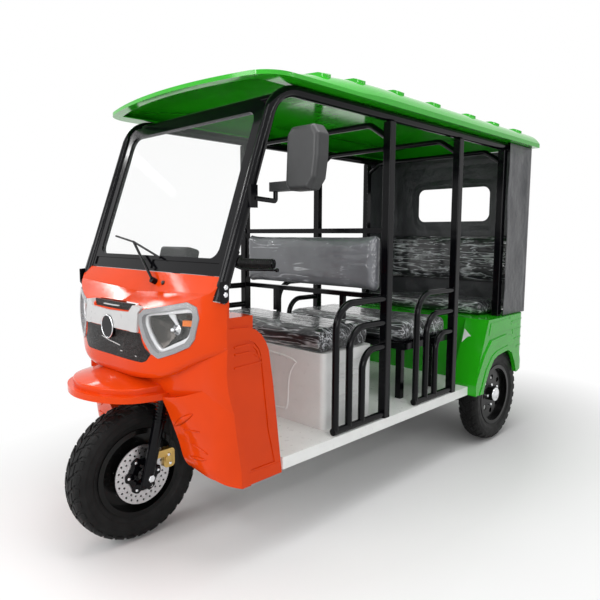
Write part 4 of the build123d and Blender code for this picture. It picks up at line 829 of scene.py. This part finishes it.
def slash(y, z, width):
    """A tapered stroke between two points of a front wall, as rows of (y, z): two edges and a middle line."""
    part = np.linspace(0, 1, 16)[:, None]
    middle = np.array((y[0], z[0])) * (1 - part) + np.array((y[1], z[1])) * part
    along = np.array((y[1] - y[0], z[1] - z[0]))
    across = np.array((-along[1], along[0])) / np.linalg.norm(along)
    spread = width / 2 * np.sin(pi * np.clip(part, 0.02, 0.98)) ** 0.6
    return middle[:, None] + spread[:, None] * across * np.array((-1, 0, 1))[None, :, None]


leg_slashes = [((0.245, 0.352), (0.478, 0.545), 0.026), ((0.296, 0.370), (0.478, 0.484), 0.008),
               ((0.320, 0.390), (0.430, 0.408), 0.010), ((0.292, 0.380), (0.374, 0.386), 0.018)]
for way, word in ((1, "left"), (-1, "right")):
    strokes = np.stack([slash(*stroke) for stroke in leg_slashes])
    starts = spot(2.3, way * strokes[..., 0], strokes[..., 1])
    wall = on_solid("nose_cowl", starts, (-1, 0, 0))
    lift = np.array((-0.0006, 0.0048, -0.0006))[None, None, :, None] * (1, 0, 0)
    under = wall[:, :, 1:2] - np.array((0.003, 0, 0))
    bars(f"leg_creases_{word}", np.concatenate([wall + lift, under], 2), finishes["orange_body"], "chassis",
         smooth=True)

# The seat box's front panel, framed by a moulded bead
low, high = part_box("seat_box")
half_frame = np.array([(0.275, 0.634), (0.200, 0.556), (0.200, 0.404), (0.170, 0.380)])
frame_loop = softened(np.concatenate([half_frame, half_frame[::-1] * (-1, 1)]), 2)
section = ((0.0, -0.0010), (0.004, 0.0034), (0.010, 0.0034), (0.014, -0.0010))
rings = [spot(high[0] - origin[0] + out, *drawn_in(frame_loop, inset).T) for inset, out in section]
bars("box_front_frame", np.stack(rings, 1)[None], finishes["white_paint"], "chassis", closed=True)

# The washer's nozzle beside the wiper
nozzle_foot = on_solid("nose_cowl", spot(1.884, 0.147, 1.1), (0, 0, -1))
bars("washer_nozzle", turned(nozzle_foot, (0.45, 0, 0.9), [(-0.003, 0.0075), (0.004, 0.0070), (0.007, 0.0050),
                                                           (0.009, 0.0020)], 20)[None],
     finishes["grey_plastic"], "chassis", smooth=True)

# A plain pale leaf shape laid on each rear fender's front face
for way, word in ((1, "left"), (-1, "right")):
    part = np.linspace(0, 1, 14)[:, None]
    top = np.array((0.392, 0.634)) * (1 - part) + np.array((0.436, 0.600)) * part
    foot = np.array((0.392, 0.562)) * (1 - part) + np.array((0.436, 0.598)) * part
    foot = foot + np.sin(pi * part) * np.array((0.003, 0.012))
    edges = np.stack([top, foot], 1)
    wall = on_solid(f"rear_fender_{word}", spot(0.5, way * edges[..., 0], edges[..., 1]), (-1, 0, 0))
    thick = np.array((0.0008, 0, 0.0003))
    bars(f"fender_leaf_{word}", np.concatenate([wall + thick, wall[:, ::-1] - thick], 1)[None], pale_leaf,
         "chassis")


# ---------------------------------------------------------------- room, lamps and camera

def pale_floor():
    """Pale paint near the vehicle, which gives way to plain white with distance, as a studio's sweep does."""
    f = Finish("pale floor", (0.82, 0.82, 0.82), 0.9)
    f.set(**{"Specular IOR Level": 0.0})
    rays = f.add("ShaderNodeLightPath").outputs
    seen = f.sums("MAXIMUM", rays["Is Camera Ray"], f.sums("MAXIMUM", rays["Is Glossy Ray"],
                                                           rays["Is Transmission Ray"]))
    oval = f.add("ShaderNodeMapping", {"Vector": f.place, "Scale": (0.74, 1.25, 1.0)}).outputs["Vector"]
    away = f.add("ShaderNodeVectorMath", {0: oval}, operation="LENGTH").outputs["Value"]
    white = f.add("ShaderNodeEmission", {"Color": (1, 1, 1, 1), "Strength": 1.0}).outputs["Emission"]
    share = f.sums("MULTIPLY", seen, f.between(away, 1.0, 2.0))
    mixed = f.add("ShaderNodeMixShader", {0: share, 1: f.shader.outputs[0], 2: white}).outputs[0]
    f.tree.links.new(mixed, f.tree.nodes["Material Output"].inputs["Surface"])
    f.tint(f.noise(2, 2), (0.81, 0.81, 0.81), (0.83, 0.83, 0.83))
    return f.material


floor_reach = 30.0
floor_corners = floor_reach * np.array([[(-1, -1, 0), (1, -1, 0)], [(-1, 1, 0), (1, 1, 0)]])
floor = surface("floor", floor_corners, pale_floor(), None)
floor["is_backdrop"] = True

light_level, seen_level = 0.33, 1.0
world = bpy.data.worlds.new("white room")
bpy.context.scene.world = world
world.use_nodes = True
sky = world.node_tree
back = sky.nodes["Background"]
path = sky.nodes.new("ShaderNodeLightPath")
level = sky.nodes.new("ShaderNodeMix")
plain = path.outputs["Is Camera Ray"]
for rays in ("Is Glossy Ray", "Is Transmission Ray"):
    either = sky.nodes.new("ShaderNodeMath")
    either.operation = "MAXIMUM"
    sky.links.new(plain, either.inputs[0])
    sky.links.new(path.outputs[rays], either.inputs[1])
    plain = either.outputs[0]
sky.links.new(plain, level.inputs[0])
level.inputs[2].default_value = light_level
level.inputs[3].default_value = seen_level
sky.links.new(level.outputs[0], back.inputs["Strength"])
back.inputs["Color"].default_value = (1, 1, 1, 1)


def softbox(name, place, target, size, power):
    """A rectangular lamp at a place, aimed at a target, which the camera itself doesn't see."""
    lamp = bpy.data.lights.new(name, "AREA")
    lamp.shape = "RECTANGLE"
    lamp.size, lamp.size_y = size
    lamp.energy = power
    thing = bpy.data.objects.new(name, lamp)
    thing.location = place
    thing.visible_camera = False
    thing.rotation_euler = (Vector(target) - Vector(place)).to_track_quat("-Z", "Y").to_euler()
    bpy.context.scene.collection.objects.link(thing)


softbox("top softbox", (0.5, 0.4, 4.6), (0.0, 0.0, 0.6), (3.6, 2.6), 126)
softbox("front softbox", (4.2, -0.4, 2.0), (0.6, 0.0, 0.8), (1.6, 2.2), 58)
softbox("side softbox", (2.8, 3.9, 1.8), (0.2, 0.0, 0.6), (2.4, 1.4), 46)
softbox("front strip", (3.0, 0.5, 2.9), (1.0, 0.0, 0.9), (0.10, 2.4), 18)
softbox("side strip", (0.0, 3.0, 2.6), (0.0, 0.0, 0.6), (3.0, 0.08), 12)
softbox("far strip", (0.9, -3.8, 3.0), (0.6, 0.0, 0.8), (3.2, 0.10), 18)

eye = Vector((2.03842, 1.77569, 1.12680))
yaw, pitch, roll = -2.36827, -0.113045, 0.004669
ahead = Vector((cos(yaw) * cos(pitch), sin(yaw) * cos(pitch), sin(pitch)))
camera = bpy.data.objects.new("camera", bpy.data.cameras.new("camera"))
camera.data.lens = 33.74
camera.data.sensor_width = 36
camera.location = eye
camera.rotation_euler = (ahead.to_track_quat("-Z", "Y").to_matrix() @ Matrix.Rotation(roll, 3, "Z")).to_euler()
bpy.context.scene.collection.objects.link(camera)
bpy.context.scene.camera = camera
bpy.context.scene.view_settings.view_transform = "Standard"

low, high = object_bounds()
